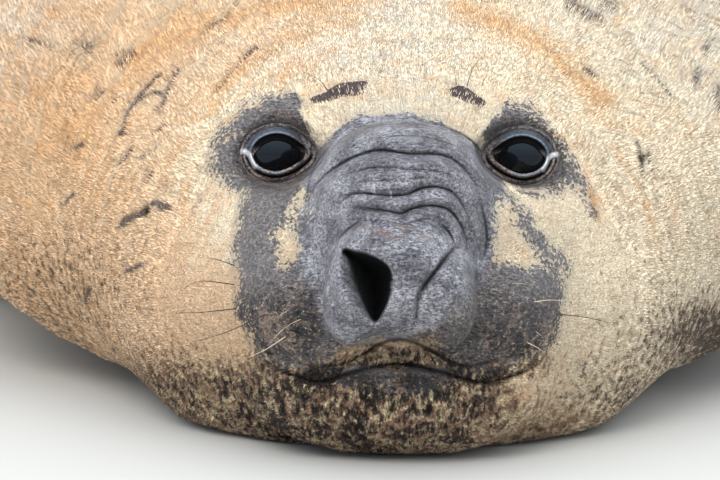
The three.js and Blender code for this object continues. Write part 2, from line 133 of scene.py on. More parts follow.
# Places on the face, in millimetres right of and above the nose as seen from in front
# Folds, each with its depth, width and line, and where given dark: how much painted shade its bottom gets
FOLDS = (
    dict(depth=11, width=3.2, line=((-95, 85), (-88, 97), (-76, 110), (-59, 122), (-43, 130), (-22, 135),
                                    (7, 132), (32, 132), (49, 128), (66, 114), (74, 101))),
    dict(depth=8, width=2.6, line=((-66, 75), (-58, 85), (-51, 90), (-41, 92), (-16, 90), (4, 91), (19, 97),
                                   (34, 99), (49, 95), (59, 85), (66, 72), (69, 60))),
    dict(depth=9, width=2.6, line=((-50, 77), (-41, 77), (-18, 75), (0, 72), (11, 77), (29, 80), (46, 77),
                                   (56, 67), (64, 52), (66, 40), (63, 27))),
    dict(depth=6, width=2.2, line=((39, 63), (49, 52), (56, 38))),
    dict(depth=5, width=2.4, line=((-63, 45), (-53, 56), (-42, 64))),
    dict(depth=5, width=5.5, dark=0.12, line=((-60, 50), (-69, 32), (-72, 12), (-70, -8), (-62, -32),
                                              (-46, -50), (-24, -58))),
    dict(depth=5, width=3.0, line=((76, 92), (83, 70), (86, 46), (82, 26))),
    dict(depth=5, width=3.0, line=((16, 169), (49, 157), (70, 145), (91, 124), (103, 105), (116, 87))),
    dict(depth=4, width=3.0, line=((-56, 160), (-66, 147), (-76, 135), (-84, 125), (-91, 110), (-96, 78),
                                   (-98, 50))),
    dict(depth=3.2, width=1.8, line=((-70, 128), (-40, 143), (-10, 149), (25, 148), (55, 139), (74, 124))),
    dict(depth=2.6, width=1.6, line=((-60, 146), (-30, 158), (5, 162), (40, 157), (62, 147))),
    dict(depth=3.2, width=1.8, line=((-82, 92), (-66, 106), (-44, 114), (-20, 118), (10, 116), (38, 114),
                                     (58, 104))),
    dict(depth=2.8, width=1.6, line=((-60, 100), (-40, 103), (-14, 105), (10, 107), (34, 108))),
    dict(depth=2.4, width=1.8, line=((-52, 66), (-30, 64), (-6, 60), (14, 64), (34, 68), (50, 62))),
    dict(depth=9, width=3.6, line=((-128, -70), (-95, -80), (-62, -80), (-36, -68), (-18, -58), (0, -54),
                                   (22, -60), (44, -72), (66, -80), (95, -74), (126, -64))),
)
MOUTH_LINE = ((-134, -82), (-104, -91), (-78, -97), (-48, -88), (-5, -78), (40, -86), (80, -96), (112, -89),
              (134, -80))
OPEN_NOSTRIL = ((-59, 35), (-48, 36), (-26, 29), (-11, 18), (-8, 3), (-10, -13), (-18, -31), (-25, -38),
                (-35, -31), (-47, -17), (-57, -1), (-61, 15))
NOSTRIL_CORE = ((-56, 34), (-46, 32), (-34, 30), (-18, 23), (-10, 13), (-10, 0), (-12, -13), (-19, -29),
                (-25, -36), (-31, -27), (-38, -10), (-44, 8), (-49, 24))
CLOSED_NOSTRIL = ((60, 42), (48, 32), (39, 20), (30, 8), (21, -5), (17, -18), (17, -40))
FLAP_EDGE = ((57, 40), (58, 20), (52, 0), (46, -14))
LID_OUTLINE = ((-26, -2), (-19, 12), (-2, 19), (16, 15), (32, 1), (19, -13), (0, -20), (-18, -15))
EARS = ((-254, 70), (240, 128))

# Outlines of the bare dark skin, of the patches in it and beside it, and of the matted chin
MASK = (
    (-111, 190), (-136, 183), (-161, 178), (-176, 160), (-184, 143), (-191, 125), (-188, 109), (-175, 99),
    (-163, 94), (-160, 78), (-167, 59), (-166, 15), (-164, -20), (-158, -38), (-150, -56), (-139, -71),
    (-125, -79), (-101, -81), (-76, -77), (-56, -65), (-36, -57), (-13, -55), (7, -55), (24, -55),
    (39, -65), (51, -75), (71, -85), (99, -81), (121, -72), (144, -62), (157, -50), (159, -27), (165, -5),
    (166, 17), (159, 30), (149, 42), (140, 57), (129, 73), (117, 85), (107, 95), (103, 105), (91, 124),
    (70, 145), (49, 158), (16, 169), (-22, 170), (-51, 164), (-63, 154), (-79, 138), (-89, 144),
    (-96, 159), (-103, 172), (-104, 184),
)
EYE_PATCH = (
    (103, 183), (94, 170), (84, 160), (79, 153), (84, 143), (91, 133), (99, 123), (109, 108), (119, 95),
    (134, 88), (154, 93), (171, 100), (184, 85), (193, 70), (190, 90), (176, 115), (164, 135), (149, 155),
    (136, 171), (121, 180),
)
DOME = (
    (-98, 50), (-97, 85), (-86, 122), (-64, 152), (-22, 169), (18, 168), (60, 152), (90, 124), (103, 103),
    (98, 60), (88, 24), (74, 0), (50, -26), (12, -40), (-12, -48), (-44, -56), (-72, -40), (-90, 8),
)
CREAM_ISLANDS = (
    ((-98, 100), (-105, 85), (-111, 70), (-117, 55), (-125, 47), (-120, 40), (-116, 20), (-109, 23),
     (-104, 37), (-107, 53), (-100, 70), (-95, 90)),
    ((91, 85), (99, 87), (107, 77), (114, 63), (123, 47), (134, 33), (147, 23), (139, 17), (119, 21),
     (104, 23), (96, 35), (93, 60)),
)
BROW_PATCHES = (
    ((-91, 186), (-76, 193), (-64, 201), (-41, 204), (-34, 200), (-41, 191), (-56, 189), (-71, 184),
     (-86, 181)),
    ((45, 194), (51, 199), (64, 199), (74, 191), (83, 184), (79, 179), (66, 183), (54, 188)),
)
CHIN_PATCH = (
    (-200, -86), (-160, -84), (-118, -92), (-60, -84), (0, -80), (60, -90), (96, -98), (118, -118),
    (90, -142), (20, -170), (-60, -176), (-150, -170), (-250, -140), (-310, -100), (-270, -84),
)

# Orange bands of the coat
ORANGE_BANDS = (
    dict(width=16, share=0.7, line=((-261, 225), (-221, 250), (-161, 267), (-101, 277), (-51, 282))),
    dict(width=9, share=0.6, line=((-189, 177), (-176, 200), (-156, 220), (-126, 240), (-91, 255),
                                   (-51, 263))),
    dict(width=30, share=0.4, line=((-350, 190), (-335, 170), (-325, 150))),
    dict(width=12, share=0.8, line=((54, 280), (89, 265), (119, 250), (149, 230), (174, 210), (199, 185))),
    dict(width=5, share=0.8, line=((189, 95), (196, 70))),
    dict(width=9, share=0.6, line=((-166, -133), (-130, -145), (-101, -150))),
)

# Scars, each with its width
SCARS = (
    (1.5, ((-380, 236), (-370, 241), (-350, 236))),
    (1.4, ((-284, 216), (-269, 231))),
    (1.3, ((-287, 259), (-279, 266))),
    (1.3, ((-319, 233), (-305, 244))),
    (1.6, ((-312, 179), (-299, 192))),
    (1.5, ((-291, 178), (-286, 183))),
    (1.8, ((-279, 149), (-276, 165), (-266, 183), (-254, 197), (-243, 209))),
    (1.6, ((-242, 170), (-236, 190), (-224, 214))),
    (1.6, ((-266, 183), (-251, 189), (-241, 190))),
    (3.6, ((-281, 149), (-277, 151))),
    (1.5, ((-246, 150), (-236, 158))),
    (1.6, ((-281, 120), (-269, 135))),
    (1.5, ((-260, 125), (-252, 130))),
    (2.6, ((-327, 134), (-319, 138))),
    (1.3, ((-336, 78), (-326, 90))),
    (3.0, ((-279, 58), (-273, 65), (-261, 68), (-246, 80), (-231, 75))),
    (4.6, ((-277, 60), (-273, 63))),
    (4.6, ((-240, 77), (-234, 76))),
    (2.0, ((-156, 229), (-146, 236))),
    (0.9, ((-187, 191), (-154, 231))),
    (1.2, ((-201, 246), (-189, 260), (-176, 265))),
    (1.5, ((-256, 100), (-249, 110))),
    (2.0, ((-274, 11), (-259, 18))),
    (2.0, ((-314, -20), (-312, -5))),
    (6.0, ((166, 281), (179, 275), (194, 268))),
    (1.2, ((240, 223), (269, 193))),
    (1.2, ((286, 215), (319, 195))),
    (2.0, ((294, 203), (316, 180))),
    (1.4, ((301, 241), (311, 238))),
    (1.5, ((199, 285), (214, 275))),
    (2.0, ((181, 219), (194, 210))),
    (2.0, ((235, 145), (241, 113))),
    (1.3, ((246, 135), (250, 118))),
)

# How much umber is added at a few places, each with its half width and half height
UMBER_SPOTS = (
    # The first spot, far out on the right jowl, is dark brown coat and partly painted shade of a deep fold
    (0.60, (316, -50), (72, 48)), (0.32, (-330, 0), (90, 70)), (0.26, (215, -110), (60, 34)),
    (0.24, (-250, -95), (110, 34)), (0.10, (-150, -125), (90, 36)),
)

# Small marks on the trunk: short white painted highlights, and pinkish grazes
WHITE_GLINTS = (((-27, 100), (-26, 91)), ((-10, 92), (-10, 87)))
GRAZES = (
    ((-37, 58), (-22, 54), (-8, 52)), ((-28, 51), (-10, 48), (3, 47)), ((-12, 62), (6, 56), (16, 57)),
    ((-16, 44), (-2, 45)), ((20, 50), (30, 44)), ((-88, -28), (-80, -40)),
)

# Whiskers as seen from in front, each with its radius and whether it is pale
WHISKERS = (
    (0.6, False, ((-166, 18), (-184, 24), (-201, 26))),
    (0.6, False, ((-166, -1), (-201, 2), (-221, -9))),
    (0.65, False, ((-165, -25), (-200, -29), (-229, -30))),
    (0.7, False, ((-134, -30), (-172, -48), (-211, -60))),
    (0.6, True, ((-114, -52), (-135, -66), (-156, -75))),
    (0.5, False, ((-81, -46), (-95, -54), (-106, -61))),
    (0.5, False, ((-99, -82), (-107, -93), (-114, -102))),
    (0.6, True, ((134, -15), (150, -13), (164, -14))),
    (0.6, False, ((156, -27), (186, -30), (214, -36))),
    (0.7, False, ((86, -70), (104, -80), (121, -91))),
    (0.6, True, ((126, -55), (136, -60), (144, -65))),
    (0.5, False, ((-74, 193), (-84, 205), (-101, 213))),
    (0.5, False, ((64, 199), (70, 218), (79, 230))),
    (0.4, False, ((54, 200), (53, 208), (54, 215))),
    (0.4, False, ((79, 200), (82, 207), (85, 213))),
)

# Colours, as they look in daylight
COLOURS = dict(
    gold=(240, 207, 172), cream=(255, 238, 210), ash=(230, 221, 206), orange=(228, 168, 100),
    dun=(160, 122, 84), umber=(54, 42, 34), bark=(120, 88, 62), olive=(214, 196, 162), clay=(166, 132, 110),
    slate=(184, 183, 192), dusk=(142, 140, 150), mask=(164, 156, 156), taupe=(126, 121, 122),
    pad=(76, 71, 73), tan=(176, 152, 136),
    fleck=(210, 196, 180), plum=(104, 86, 86), crack=(48, 45, 49), scar=(80, 68, 72), chin=(74, 62, 55),
    # black is also painted shade in folds and the nostril, and the near-white colour after rim is a painted
    # highlight
    black=(8, 7, 8), lid=(84, 90, 101), rim=(146, 156, 168), glint=(244, 246, 250), ball=(9, 8, 8),
    horn=(52, 44, 38), straw=(196, 180, 146), floor=(192, 190, 186),
)


def lowest(a, b, blend):
    near = np.maximum(blend - np.abs(a - b), 0) / blend
    return np.minimum(a, b) - near * near * blend / 4


def highest(a, b, blend):
    return -lowest(-a, -b, blend)


def step(low, high, value):
    t = np.clip((value - low) / (high - low), 0, 1)
    return t * t * (3 - 2 * t)


def between(table, y):
    """All the columns of a table at once, on smooth curves through its rows."""
    last = len(table) - 1
    i = np.clip(np.searchsorted(table[:, 0], y) - 1, 0, last - 1)
    before, low, high, after = (table[np.clip(i + k, 0, last)] for k in (-1, 0, 1, 2))
    span = (high[:, :1] - low[:, :1])
    t = np.clip((y[:, None] - low[:, :1]) / span, 0, 1)
    slope_low = (high - before) / (high[:, :1] - before[:, :1])
    slope_high = (after - low) / (after[:, :1] - low[:, :1])
    t2 = t * t
    t3 = t2 * t
    return ((2 * t3 - 3 * t2 + 1) * low + (t3 - 2 * t2 + t) * span * slope_low
            + (3 * t2 - 2 * t3) * high + (t3 - t2) * span * slope_high)


def length3(x, y, z):
    return np.sqrt(x * x + y * y + z * z)


def unit(vectors):
    """Vectors of length 1 in the same directions."""
    vectors = np.array(vectors, float)
    return vectors / np.maximum(np.linalg.norm(vectors, axis=-1, keepdims=True), 1e-9)


def ellipsoid(x, y, z, half):
    """About the distance from an ellipsoid, negative inside."""
    near = length3(x / half[0], y / half[1], z / half[2])
    slope = length3(x / half[0] ** 2, y / half[1] ** 2, z / half[2] ** 2)
    return near * (near - 1) / np.maximum(slope, 1e-9)


def from_face(aside, up, back):
    """Points that are so far to the right of the nose, up the face and back from the nose."""
    return NOSE + np.outer(aside, (1, 0, 0)) + np.outer(up, UP_FACE) + np.outer(back, INTO_FACE)


def face_places(points):
    """How far points are to the right of the nose, up the face and back from the nose."""
    off = points - NOSE
    return off[:, 0], off @ UP_FACE, off @ INTO_FACE


def seen_places(points):
    """Where points are on the face as seen from in front."""
    aside, up, back = face_places(points)
    nearness = 1 / (1 + back / VIEW_DISTANCE)
    return VIEW_ASIDE + (aside - VIEW_ASIDE) * nearness, VIEW_UP + (up - VIEW_UP) * nearness


def body_distance(points):
    """Distance from the neck and body, which are rounded squares across, with low rolls on the neck."""
    y = np.clip(points[:, 1], BODY_START, BODY_SECTIONS[-1, 0])
    row = between(BODY_SECTIONS, y)
    half_width, back, widest = row[:, 1], row[:, 2], row[:, 3]
    rise = points[:, 2] - widest
    upper = rise > 0
    half_height = np.where(upper, back - widest, widest + FLOOR_SINK)
    power = np.where(upper, UPPER_SQUARENESS, LOWER_SQUARENESS)
    share = np.abs(points[:, 0] / half_width) ** power + np.abs(rise / half_height) ** power
    share = share ** (1 / power)
    radius = np.hypot(points[:, 0], rise)
    flare = (between(BODY_SECTIONS, y + 10)[:, 1] - between(BODY_SECTIONS, y - 10)[:, 1]) / 20
    flare = np.minimum(flare, MOST_FLARE)
    around = (radius - radius / np.maximum(share, 1e-6)) / np.hypot(1, flare)
    leaning = points[:, 1] - ROLLS_FIRST + ROLLS_LEAN * (points[:, 2] - ROLLS_LEVEL)
    leaning += ROLLS_SWAY * np.sin(points[:, 0] / ROLLS_SWAY_WIDTH)
    swell = np.sin(np.pi * np.clip(leaning / (ROLLS_LAST - ROLLS_FIRST), 0, 1))
    roll = ROLLS_HEIGHT * swell * np.cos(TAU * leaning / ROLLS_SPACING)
    ends = np.maximum(BODY_START - points[:, 1], points[:, 1] - BODY_END)
    return np.maximum(around - roll, ends)


def flesh_distance(points):
    """Distance from the surface of the solids, negative inside."""
    x, up, back = face_places(points)
    distance = None
    for _, at, half, blend, paired in HEAD_FORMS:
        aside = np.abs(x) if paired else x
        one = ellipsoid(aside - at[0], up - at[1], back - at[2], half)
        distance = one if distance is None else lowest(distance, one, blend)
    return lowest(distance, body_distance(points), NECK_BLEND)


def skin_distance(points):
    """Distance from the skin, which is rounded where it leaves the floor."""
    return highest(flesh_distance(points) + COAT_DEPTH, -points[:, 2], 24)


# How the skin is swept and how fine its mesh is
FACE_RINGS = np.concatenate([np.linspace(0, 0.05, 12, False), np.linspace(0.05, 0.6, 300, False),
                             np.linspace(0.6, 1.0, 120, False)])
BODY_RINGS = np.concatenate([np.linspace(1.0, 1.2, 80, False), np.linspace(1.2, 2.0, 60, False),
                             np.linspace(2.0, 3.0, 22)])
SEGMENTS = 608
COARSE = 8


def sweep(stations, angles):
    """The centre and direction of the ray at each station and angle."""
    along = np.clip(stations - 1, 0, 1)
    centre = HEAD_CENTRE + (TAIL_CENTRE - HEAD_CENTRE) * along[:, None]
    centre[:, 2] += 4 * SPINE_ARCH * along * (1 - along) * (1 - 0.5 * along)
    turn = ((np.clip(stations, 0, 1) + np.clip(stations - 2, 0, 1)) * math.pi / 2)[:, None]
    tilt = (FACE_TILT * (1 - np.clip(along * 6, 0, 1)))[:, None]
    ahead, spread = np.cos(turn), np.sin(turn)
    up = -spread * np.sin(angles)
    aside = -spread * np.cos(angles)
    direction = np.stack([aside, -ahead * np.cos(tilt) + up * np.sin(tilt),
                          ahead * np.sin(tilt) + up * np.cos(tilt)], -1)
    return np.broadcast_to(centre[:, None], direction.shape), direction


def reach_skin(centres, directions, start, steps):
    """How far out the skin is along each ray, coming in from a start outside it."""
    reach = start.copy()
    live = np.arange(len(reach))
    for _ in range(steps):
        gap = skin_distance(centres[live] + directions[live] * reach[live, None])
        reach[live] -= 0.75 * gap
        live = live[np.abs(gap) > 0.02]
        if not len(live):
            break
    return reach


def swept_skin():
    """The plain skin as rings of points, from the nose to the rump."""
    stations = np.concatenate([FACE_RINGS, BODY_RINGS])
    angles = np.arange(SEGMENTS) / SEGMENTS * TAU
    few_rings = np.concatenate([np.arange(0, len(stations) - 1, COARSE), [len(stations) - 1]])
    few_angles = np.arange(0, SEGMENTS, COARSE)
    centres, directions = sweep(stations[few_rings], angles[few_angles])
    start = np.full(centres.shape[0] * centres.shape[1], REACH)
    coarse = reach_skin(centres.reshape(-1, 3), directions.reshape(-1, 3), start, 90)
    coarse = coarse.reshape(len(few_rings), len(few_angles))
    outer = coarse.copy()
    for rows, columns in ((1, 0), (-1, 0), (0, 1), (0, -1)):
        near = np.roll(coarse, (rows, columns), (0, 1)) if columns else coarse[
            np.clip(np.arange(len(coarse)) + rows, 0, len(coarse) - 1)]
        outer = np.maximum(outer, near)
    row = np.searchsorted(few_rings, np.arange(len(stations)), side="right") - 1
    first = outer[row][:, np.arange(SEGMENTS) // COARSE] + 4
    centres, directions = sweep(stations, angles)
    reach = reach_skin(centres.reshape(-1, 3), directions.reshape(-1, 3), first.ravel(), 40)
    points = centres.reshape(-1, 3) + directions.reshape(-1, 3) * reach[:, None]
    return points.reshape(len(stations), SEGMENTS, 3)


def noise(points, size, seed=0):
    """Smooth random values between -1 and 1, with lumps of about the given size."""
    place = points / size
    cell = np.floor(place).astype(np.int64)
    share = place - cell
    share = share * share * (3 - 2 * share)
    total = np.zeros(len(points))
    for corner in range(8):
        bits = np.array([corner & 1, corner >> 1 & 1, corner >> 2 & 1])
        key = (cell + bits) @ np.array([73856093, 19349663, 83492791]) + seed * 6542989
        key = (key ^ (key >> 13)) * 1274126177 & 0xFFFFFFFF
        key = (key ^ (key >> 16)) * 73244475 & 0xFFFFFFFF
        weight = np.prod(np.where(bits, share, 1 - share), axis=1)
        total += weight * (key / 0xFFFFFFFF)
    return total * 2 - 1


def layered(points, size, seed=0, layers=3):
    """Noise with finer noise over it."""
    return sum(noise(points, size / 2 ** k, seed + k) / 2 ** k for k in range(layers)) / 1.5


def rounded(points, closed=True, pieces=5):
    """A smooth line through a few points."""
    points = np.array(points, float)
    count = len(points)
    spans = count if closed else count - 1
    out = []
    for i in range(spans):
        if closed:
            p = [points[(i + k) % count] for k in (-1, 0, 1, 2)]
        else:
            p = [points[min(max(i + k, 0), count - 1)] for k in (-1, 0, 1, 2)]
        for t in np.arange(pieces) / pieces:
            out.append(0.5 * (2 * p[1] + (p[2] - p[0]) * t + (2 * p[0] - 5 * p[1] + 4 * p[2] - p[3]) * t * t
                              + (3 * p[1] - p[0] - 3 * p[2] + p[3]) * t ** 3))
    if not closed:
        out.append(points[-1])
    return np.array(out)


def line_distance(x, y, line, closed=False):
    """The distance to a line, and how far along it the nearest place is, from 0 to 1."""
    line = np.array(line, float)
    ends = np.roll(line, -1, 0) if closed else line[1:]
    starts = line if closed else line[:-1]
    best = np.full(len(x), np.inf)
    along = np.zeros(len(x))
    for i, (start, end) in enumerate(zip(starts, ends)):
        span = end - start
        aside, over = x - start[0], y - start[1]
        share = np.clip((aside * span[0] + over * span[1]) / max(span @ span, 1e-9), 0, 1)
        far = np.hypot(aside - share * span[0], over - share * span[1])
        nearer = far < best
        best[nearer] = far[nearer]
        along[nearer] = (i + share[nearer]) / len(starts)
    return best, along


def outline_distance(x, y, outline):
    """The distance to a closed outline, negative inside it."""
    outline = np.array(outline, float)
    far, _ = line_distance(x, y, outline, closed=True)
    inside = np.zeros(len(x), bool)
    for (x0, y0), (x1, y1) in zip(outline, np.roll(outline, -1, 0)):
        crosses = (y0 > y) != (y1 > y)
        if y1 != y0:
            inside ^= crosses & (x < (x1 - x0) * (y - y0) / (y1 - y0) + x0)
    return np.where(inside, -far, far)


def places_near(x, y, shape, margin):
    low, high = shape.min(0) - margin, shape.max(0) + margin
    return (x > low[0]) & (x < high[0]) & (y > low[1]) & (y < high[1])


def patch(x, y, outline, margin=45.0):
    """outline_distance, worked out only near the outline."""
    shape = rounded(outline)
    near = places_near(x, y, shape, margin)
    out = np.full(len(x), margin)
    out[near] = np.minimum(outline_distance(x[near], y[near], shape), margin)
    return out


def stroke(x, y, line, margin=40.0):
    """line_distance on a smooth line, worked out only near it."""
    shape = rounded(line, closed=False)
    near = places_near(x, y, shape, margin)
    far, along = np.full(len(x), margin), np.zeros(len(x))
    far[near], along[near] = line_distance(x[near], y[near], shape)
    return far, along


# Depths and heights of the relief of the face
NOSTRIL_FUNNEL, NOSTRIL_DEEP = 26.0, 42.0
SLIT_DEEP, SLIT_WIDE, FLAP_HEIGHT = 12.0, 2.6, 5.0
MOUTH_DEEP, MOUTH_WIDE, LIP_HEIGHT = 10.0, 2.8, 4.0
LID_REACH = 17.0
EYE_SOCKET = 9.0
EAR_DEEP, EAR_WIDE, EAR_BACK = 9.0, 3.6, 500.0
NECK_RING_SPACING, NECK_RING_HEIGHT = 31.0, 1.5
FOLD_SWAY = 0.2
# Masks kept while the face is shaped; three carry painted shade: folds and pits, the open nostril, and the
# hollows of the neck folds
MASKS = ("lid", "crease", "nostril_shade", "pads", "ring")


def add_mask(masks, word, values, where=slice(None)):
    masks[word][where] = np.maximum(masks[word][where], values)


def lid_height(edge, upper, inward):
    """How far the lids stand in front of the eyeball, by the distance outside their edge."""
    roll = step(-0.6, 2.8, edge) * (2.2 + 2.8 * upper) * (1 - 0.6 * step(16, 34, inward))
    above = 0.5 * np.exp(-((edge - 4) / 3) ** 2) - 1.8 * np.exp(-((edge - 9.4) / 1.2) ** 2)
    above -= 1.2 * np.exp(-((edge - 14) / 1.0) ** 2)
    below = (0.9 * np.exp(-((edge - 2.0) / 1.4) ** 2) - 3.4 * np.exp(-((edge - 5.6) / 1.7) ** 2)
             + 0.9 * np.exp(-((edge - 8.6) / 1.6) ** 2) - 2.4 * np.exp(-((edge - 11) / 1.1) ** 2))
    return roll + upper * above + (1 - upper) * below


def ball_back(inward, over):
    """How far behind the nose the front of the eyeball is."""
    return EYE_AT[2] - np.sqrt(np.maximum(EYE_RADIUS ** 2 - inward ** 2 - over ** 2, 60))


def set_lids(points, masks):
    """Brings the skin down round the eyes, just under the lids."""
    x, up, back = face_places(points)
    for side in (-1, 1):
        inward, over = EYE_AT[0] - side * x, up - EYE_AT[1]
        near = np.nonzero((np.abs(inward) < 75) & (np.abs(over) < 60) & (back < 330))[0]
        inward, over = inward[near], over[near]
        edge = outline_distance(inward, over, rounded(LID_OUTLINE))
        upper = step(-6, 8, over)
        under = 2.0 * (1 - step(LID_REACH - 7, LID_REACH - 1, edge))
        lid = ball_back(inward, over) - 0.8 - lid_height(edge, upper, inward) + under
        hold = 1 - step(8, 26, edge)
        target = np.where(edge > -0.4, back[near] + (lid - back[near]) * hold,
                          ball_back(inward, over) + EYE_SOCKET)
        points[near] += INTO_FACE * (target - back[near])[:, None]
        add_mask(masks, "lid", 1 - step(11, 15, edge), near)
        # Painted shade: a faint dark line in the groove above each eye
        add_mask(masks, "crease", 0.3 * upper * np.exp(-((edge - 18.5) / 1.4) ** 2), near)


def shape_face(points, masks):
    """Moves the skin's points into the folds, nostrils, lips and lids, and keeps their masks."""
    right, high = seen_places(points)
    _, _, back = face_places(points)
    facing = 1 - step(230, 300, back)
    out = np.zeros(len(points))
    set_folds(points, right, high, facing, out, masks)
    set_nostrils(right, high, back, out, masks)
    set_lips(right, high, back, facing, out, masks)
    roughen_face(points, right, high, facing, out, masks)
    set_ears(right, high, back, out, masks)
    points += -INTO_FACE * out[:, None]
    set_lids(points, masks)


def set_folds(points, right, high, facing, out, masks):
    """Sharp folds with rounded skin beside them, which run out at their ends."""
    sway = 1 + FOLD_SWAY * noise(points, 22, 3)
    for fold in FOLDS:
        far, along = stroke(right, high, fold["line"])
        fade = np.sin(np.pi * np.clip(along, 0.03, 0.97)) ** 0.5 * facing
        wide = fold["width"] * sway
        sharp = np.exp(-(far / (0.55 * wide)) ** 2)
        out -= fold["depth"] * (0.7 * np.exp(-far / (2.3 * wide)) + 0.45 * sharp) * fade
        out += 0.35 * fold["depth"] * np.exp(-((far - 3.6 * wide) / (2.0 * wide)) ** 2) * fade
        # Painted shade: the bottom of each fold is marked to be painted black, by the fold's dark share
        dark = fold.get("dark", min(0.25 + fold["depth"] / 8, 1))
        add_mask(masks, "crease", sharp * fade * dark)


def set_lips(right, high, back, facing, out, masks):
    """The line of the shut mouth, with the lips rolled a little beside it."""
    mouth, along = stroke(right, high, MOUTH_LINE)
    fade = np.sin(np.pi * np.clip(along, 0.02, 0.98)) ** 0.3 * step(60, 90, back) * facing
    out -= MOUTH_DEEP * np.exp(-(mouth / MOUTH_WIDE) ** 1.4) * fade
    out += LIP_HEIGHT * np.exp(-((mouth - 10) / 6) ** 2) * fade
    # Painted shade: the mouth line is marked to be painted black
    add_mask(masks, "crease", 0.85 * np.exp(-(mouth / MOUTH_WIDE) ** 2) * fade)


def roughen_face(points, right, high, facing, out, masks):
    """Clumps under the chin, lumpy whisker pads, and fine wrinkles across the trunk."""
    chin = step(12, -20, patch(right, high, CHIN_PATCH)) * facing
    out += chin * (2.2 * noise(points, 15, 15) + 1.2 * noise(points, 7, 16))
    pads = step(60, 92, np.abs(right)) * step(-95, -60, high) * (1 - step(-30, 20, high)) * facing
    out += pads * (1.3 * noise(points, 9, 11) + 0.8 * noise(points * np.array([1, 1, 2.2]), 6, 14))
    trunk = np.exp(-(np.maximum(np.abs(right) - 60, 0) / 30) ** 2) * facing
    out += trunk * 0.8 * noise(points * np.array([0.35, 1.6, 1.6]), 7, 12)
    out += trunk * 0.9 * noise(points * np.array([0.3, 1.2, 1.2]), 15, 17)
    out += facing * 1.6 * noise(points, 42, 13)
    around = np.minimum(np.hypot(right + 124, high - 132), np.hypot(right - 126, high - 128))
    pads = np.maximum(pads, 0.7 * step(16, 24, around) * (1 - step(36, 54, around)) * facing)
    pads = np.maximum(pads, 0.7 * step(-20, -44, high) * step(-5, 25, right - 0.3 * high) * facing)
    pads = pads * (1 - 0.3 * step(40, 90, right) * step(-60, -20, high))
    masks["pads"] = np.maximum(pads, step(-84, -92, high) * (1 - step(60, 90, np.abs(right))) * facing)


def set_ears(right, high, back, out, masks):
    for ear in EARS:
        far = np.hypot(right - ear[0], (high - ear[1]) * 0.6)
        pit = np.exp(-(far / EAR_WIDE) ** 2) * (back < EAR_BACK)
        out -= EAR_DEEP * pit
        out += 2.5 * np.exp(-((far - 2.4 * EAR_WIDE) / 3.5) ** 2) * (back < EAR_BACK)
        # Painted shade: the ear pits are marked to be painted black
        add_mask(masks, "crease", pit)


def set_nostrils(right, high, back, out, masks):
    """The open nostril with its funnel and rolled rim, and the one whose flap is shut."""
    bulb = 1 - step(56, 74, back)
    funnel = patch(right, high, OPEN_NOSTRIL)
    core = patch(right, high, NOSTRIL_CORE)
    inside = np.maximum(-funnel, 0)
    share = np.where(inside > 0, inside / (inside + np.maximum(core, 0) + 0.01), 0)
    out -= bulb * NOSTRIL_FUNNEL * share ** 1.6
    out -= bulb * NOSTRIL_DEEP * (1 - np.exp(np.minimum(core, 0) / 6))
    outer_side = step(-10, -50, right + 0.6 * high)
    out += bulb * (1.0 + 4.0 * outer_side) * np.exp(-((funnel - 4) / 5) ** 2)
    # Painted shade: the open nostril is darkened in its funnel and painted black where it is deep
    shadow = 0.4 * step(0.0, 0.4, share)
    add_mask(masks, "nostril_shade", bulb * np.maximum(shadow, step(0.30, 0.95, share)))
    slit, along = stroke(right, high, CLOSED_NOSTRIL)
    fade = np.sin(np.pi * np.clip(along, 0.03, 0.97)) ** 0.4 * bulb
    sharp = np.exp(-(slit / SLIT_WIDE) ** 2)
    out -= SLIT_DEEP * (0.6 * np.exp(-slit / (1.5 * SLIT_WIDE)) + 0.4 * sharp) * fade
    # Painted shade: the shut nostril's slit is marked to be painted black
    add_mask(masks, "crease", sharp * fade)
    out += bulb * FLAP_HEIGHT * np.exp(-((right - 44) / 11) ** 2 - ((high - 8) / 24) ** 2)
    flap, along = stroke(right, high, FLAP_EDGE)
    out -= bulb * 5.0 * np.exp(-(flap / 3) ** 2) * np.sin(np.pi * np.clip(along, 0.03, 0.97)) ** 0.4
    out -= bulb * 2.5 * np.exp(-((right - 6) / 7) ** 2) * step(20, -20, high)


def ripple_neck(rings, masks):
    """Low folds that run round the neck behind the face, as where the head is drawn back."""
    normals = ring_normals(rings)
    points = rings.reshape(-1, 3)
    right, high = seen_places(points)
    _, _, back = face_places(points)
    radius = np.hypot(right, high + 15) + 40 * layered(points, 260, 21)
    strength = step(215, 320, radius) * (1 - step(900, 1250, points[:, 1])) * step(8, 60, points[:, 2])
    strength *= 0.5 + 0.5 * noise(points, 110, 22)
    turn = TAU * radius / NECK_RING_SPACING
    wave = 0.6 * np.sin(turn) + 0.4 * np.sin(turn / 0.57 + 2)
    behind = 0.7 * np.sin(TAU * points[:, 1] / 46 + 3 * noise(points, 200, 23))
    wave += (behind - wave) * step(520, 680, points[:, 1])
    move = NECK_RING_HEIGHT * wave * strength
    move += 0.9 * noise(points, 28, 24) * step(330, 420, back) * step(4, 40, points[:, 2])
    points += normals.reshape(-1, 3) * move[:, None]
    # The ring mask is highest in the hollows of these folds, where the coat gets painted shade as an orange
    # tint
    masks["ring"] = strength * (0.5 - 0.5 * wave)


def ring_normals(rings):
    """The outward direction at each point of rings of points."""
    around = np.roll(rings, -1, 1) - np.roll(rings, 1, 1)
    normals = unit(np.cross(np.gradient(rings, axis=0), around))
    outward = np.einsum("ijk,ijk->ij", normals, rings - rings.mean(1, keepdims=True))
    return normals * (1 if np.median(outward) > 0 else -1)


MARKINGS = ("bare", "ragged", "slate", "cream", "ash", "orange", "umber", "olive", "scar", "plum", "streak",
            "white_glint", "graze")


def spot(right, high, at, half):
    """A soft round mark."""
    return np.exp(-((right - at[0]) / half[0]) ** 2 - ((high - at[1]) / half[1]) ** 2)


def marked(right, high, lines, width):
    """Thin marks along lines."""
    return np.max([step(width, width * 0.3, stroke(right, high, line)[0]) for line in lines], axis=0)


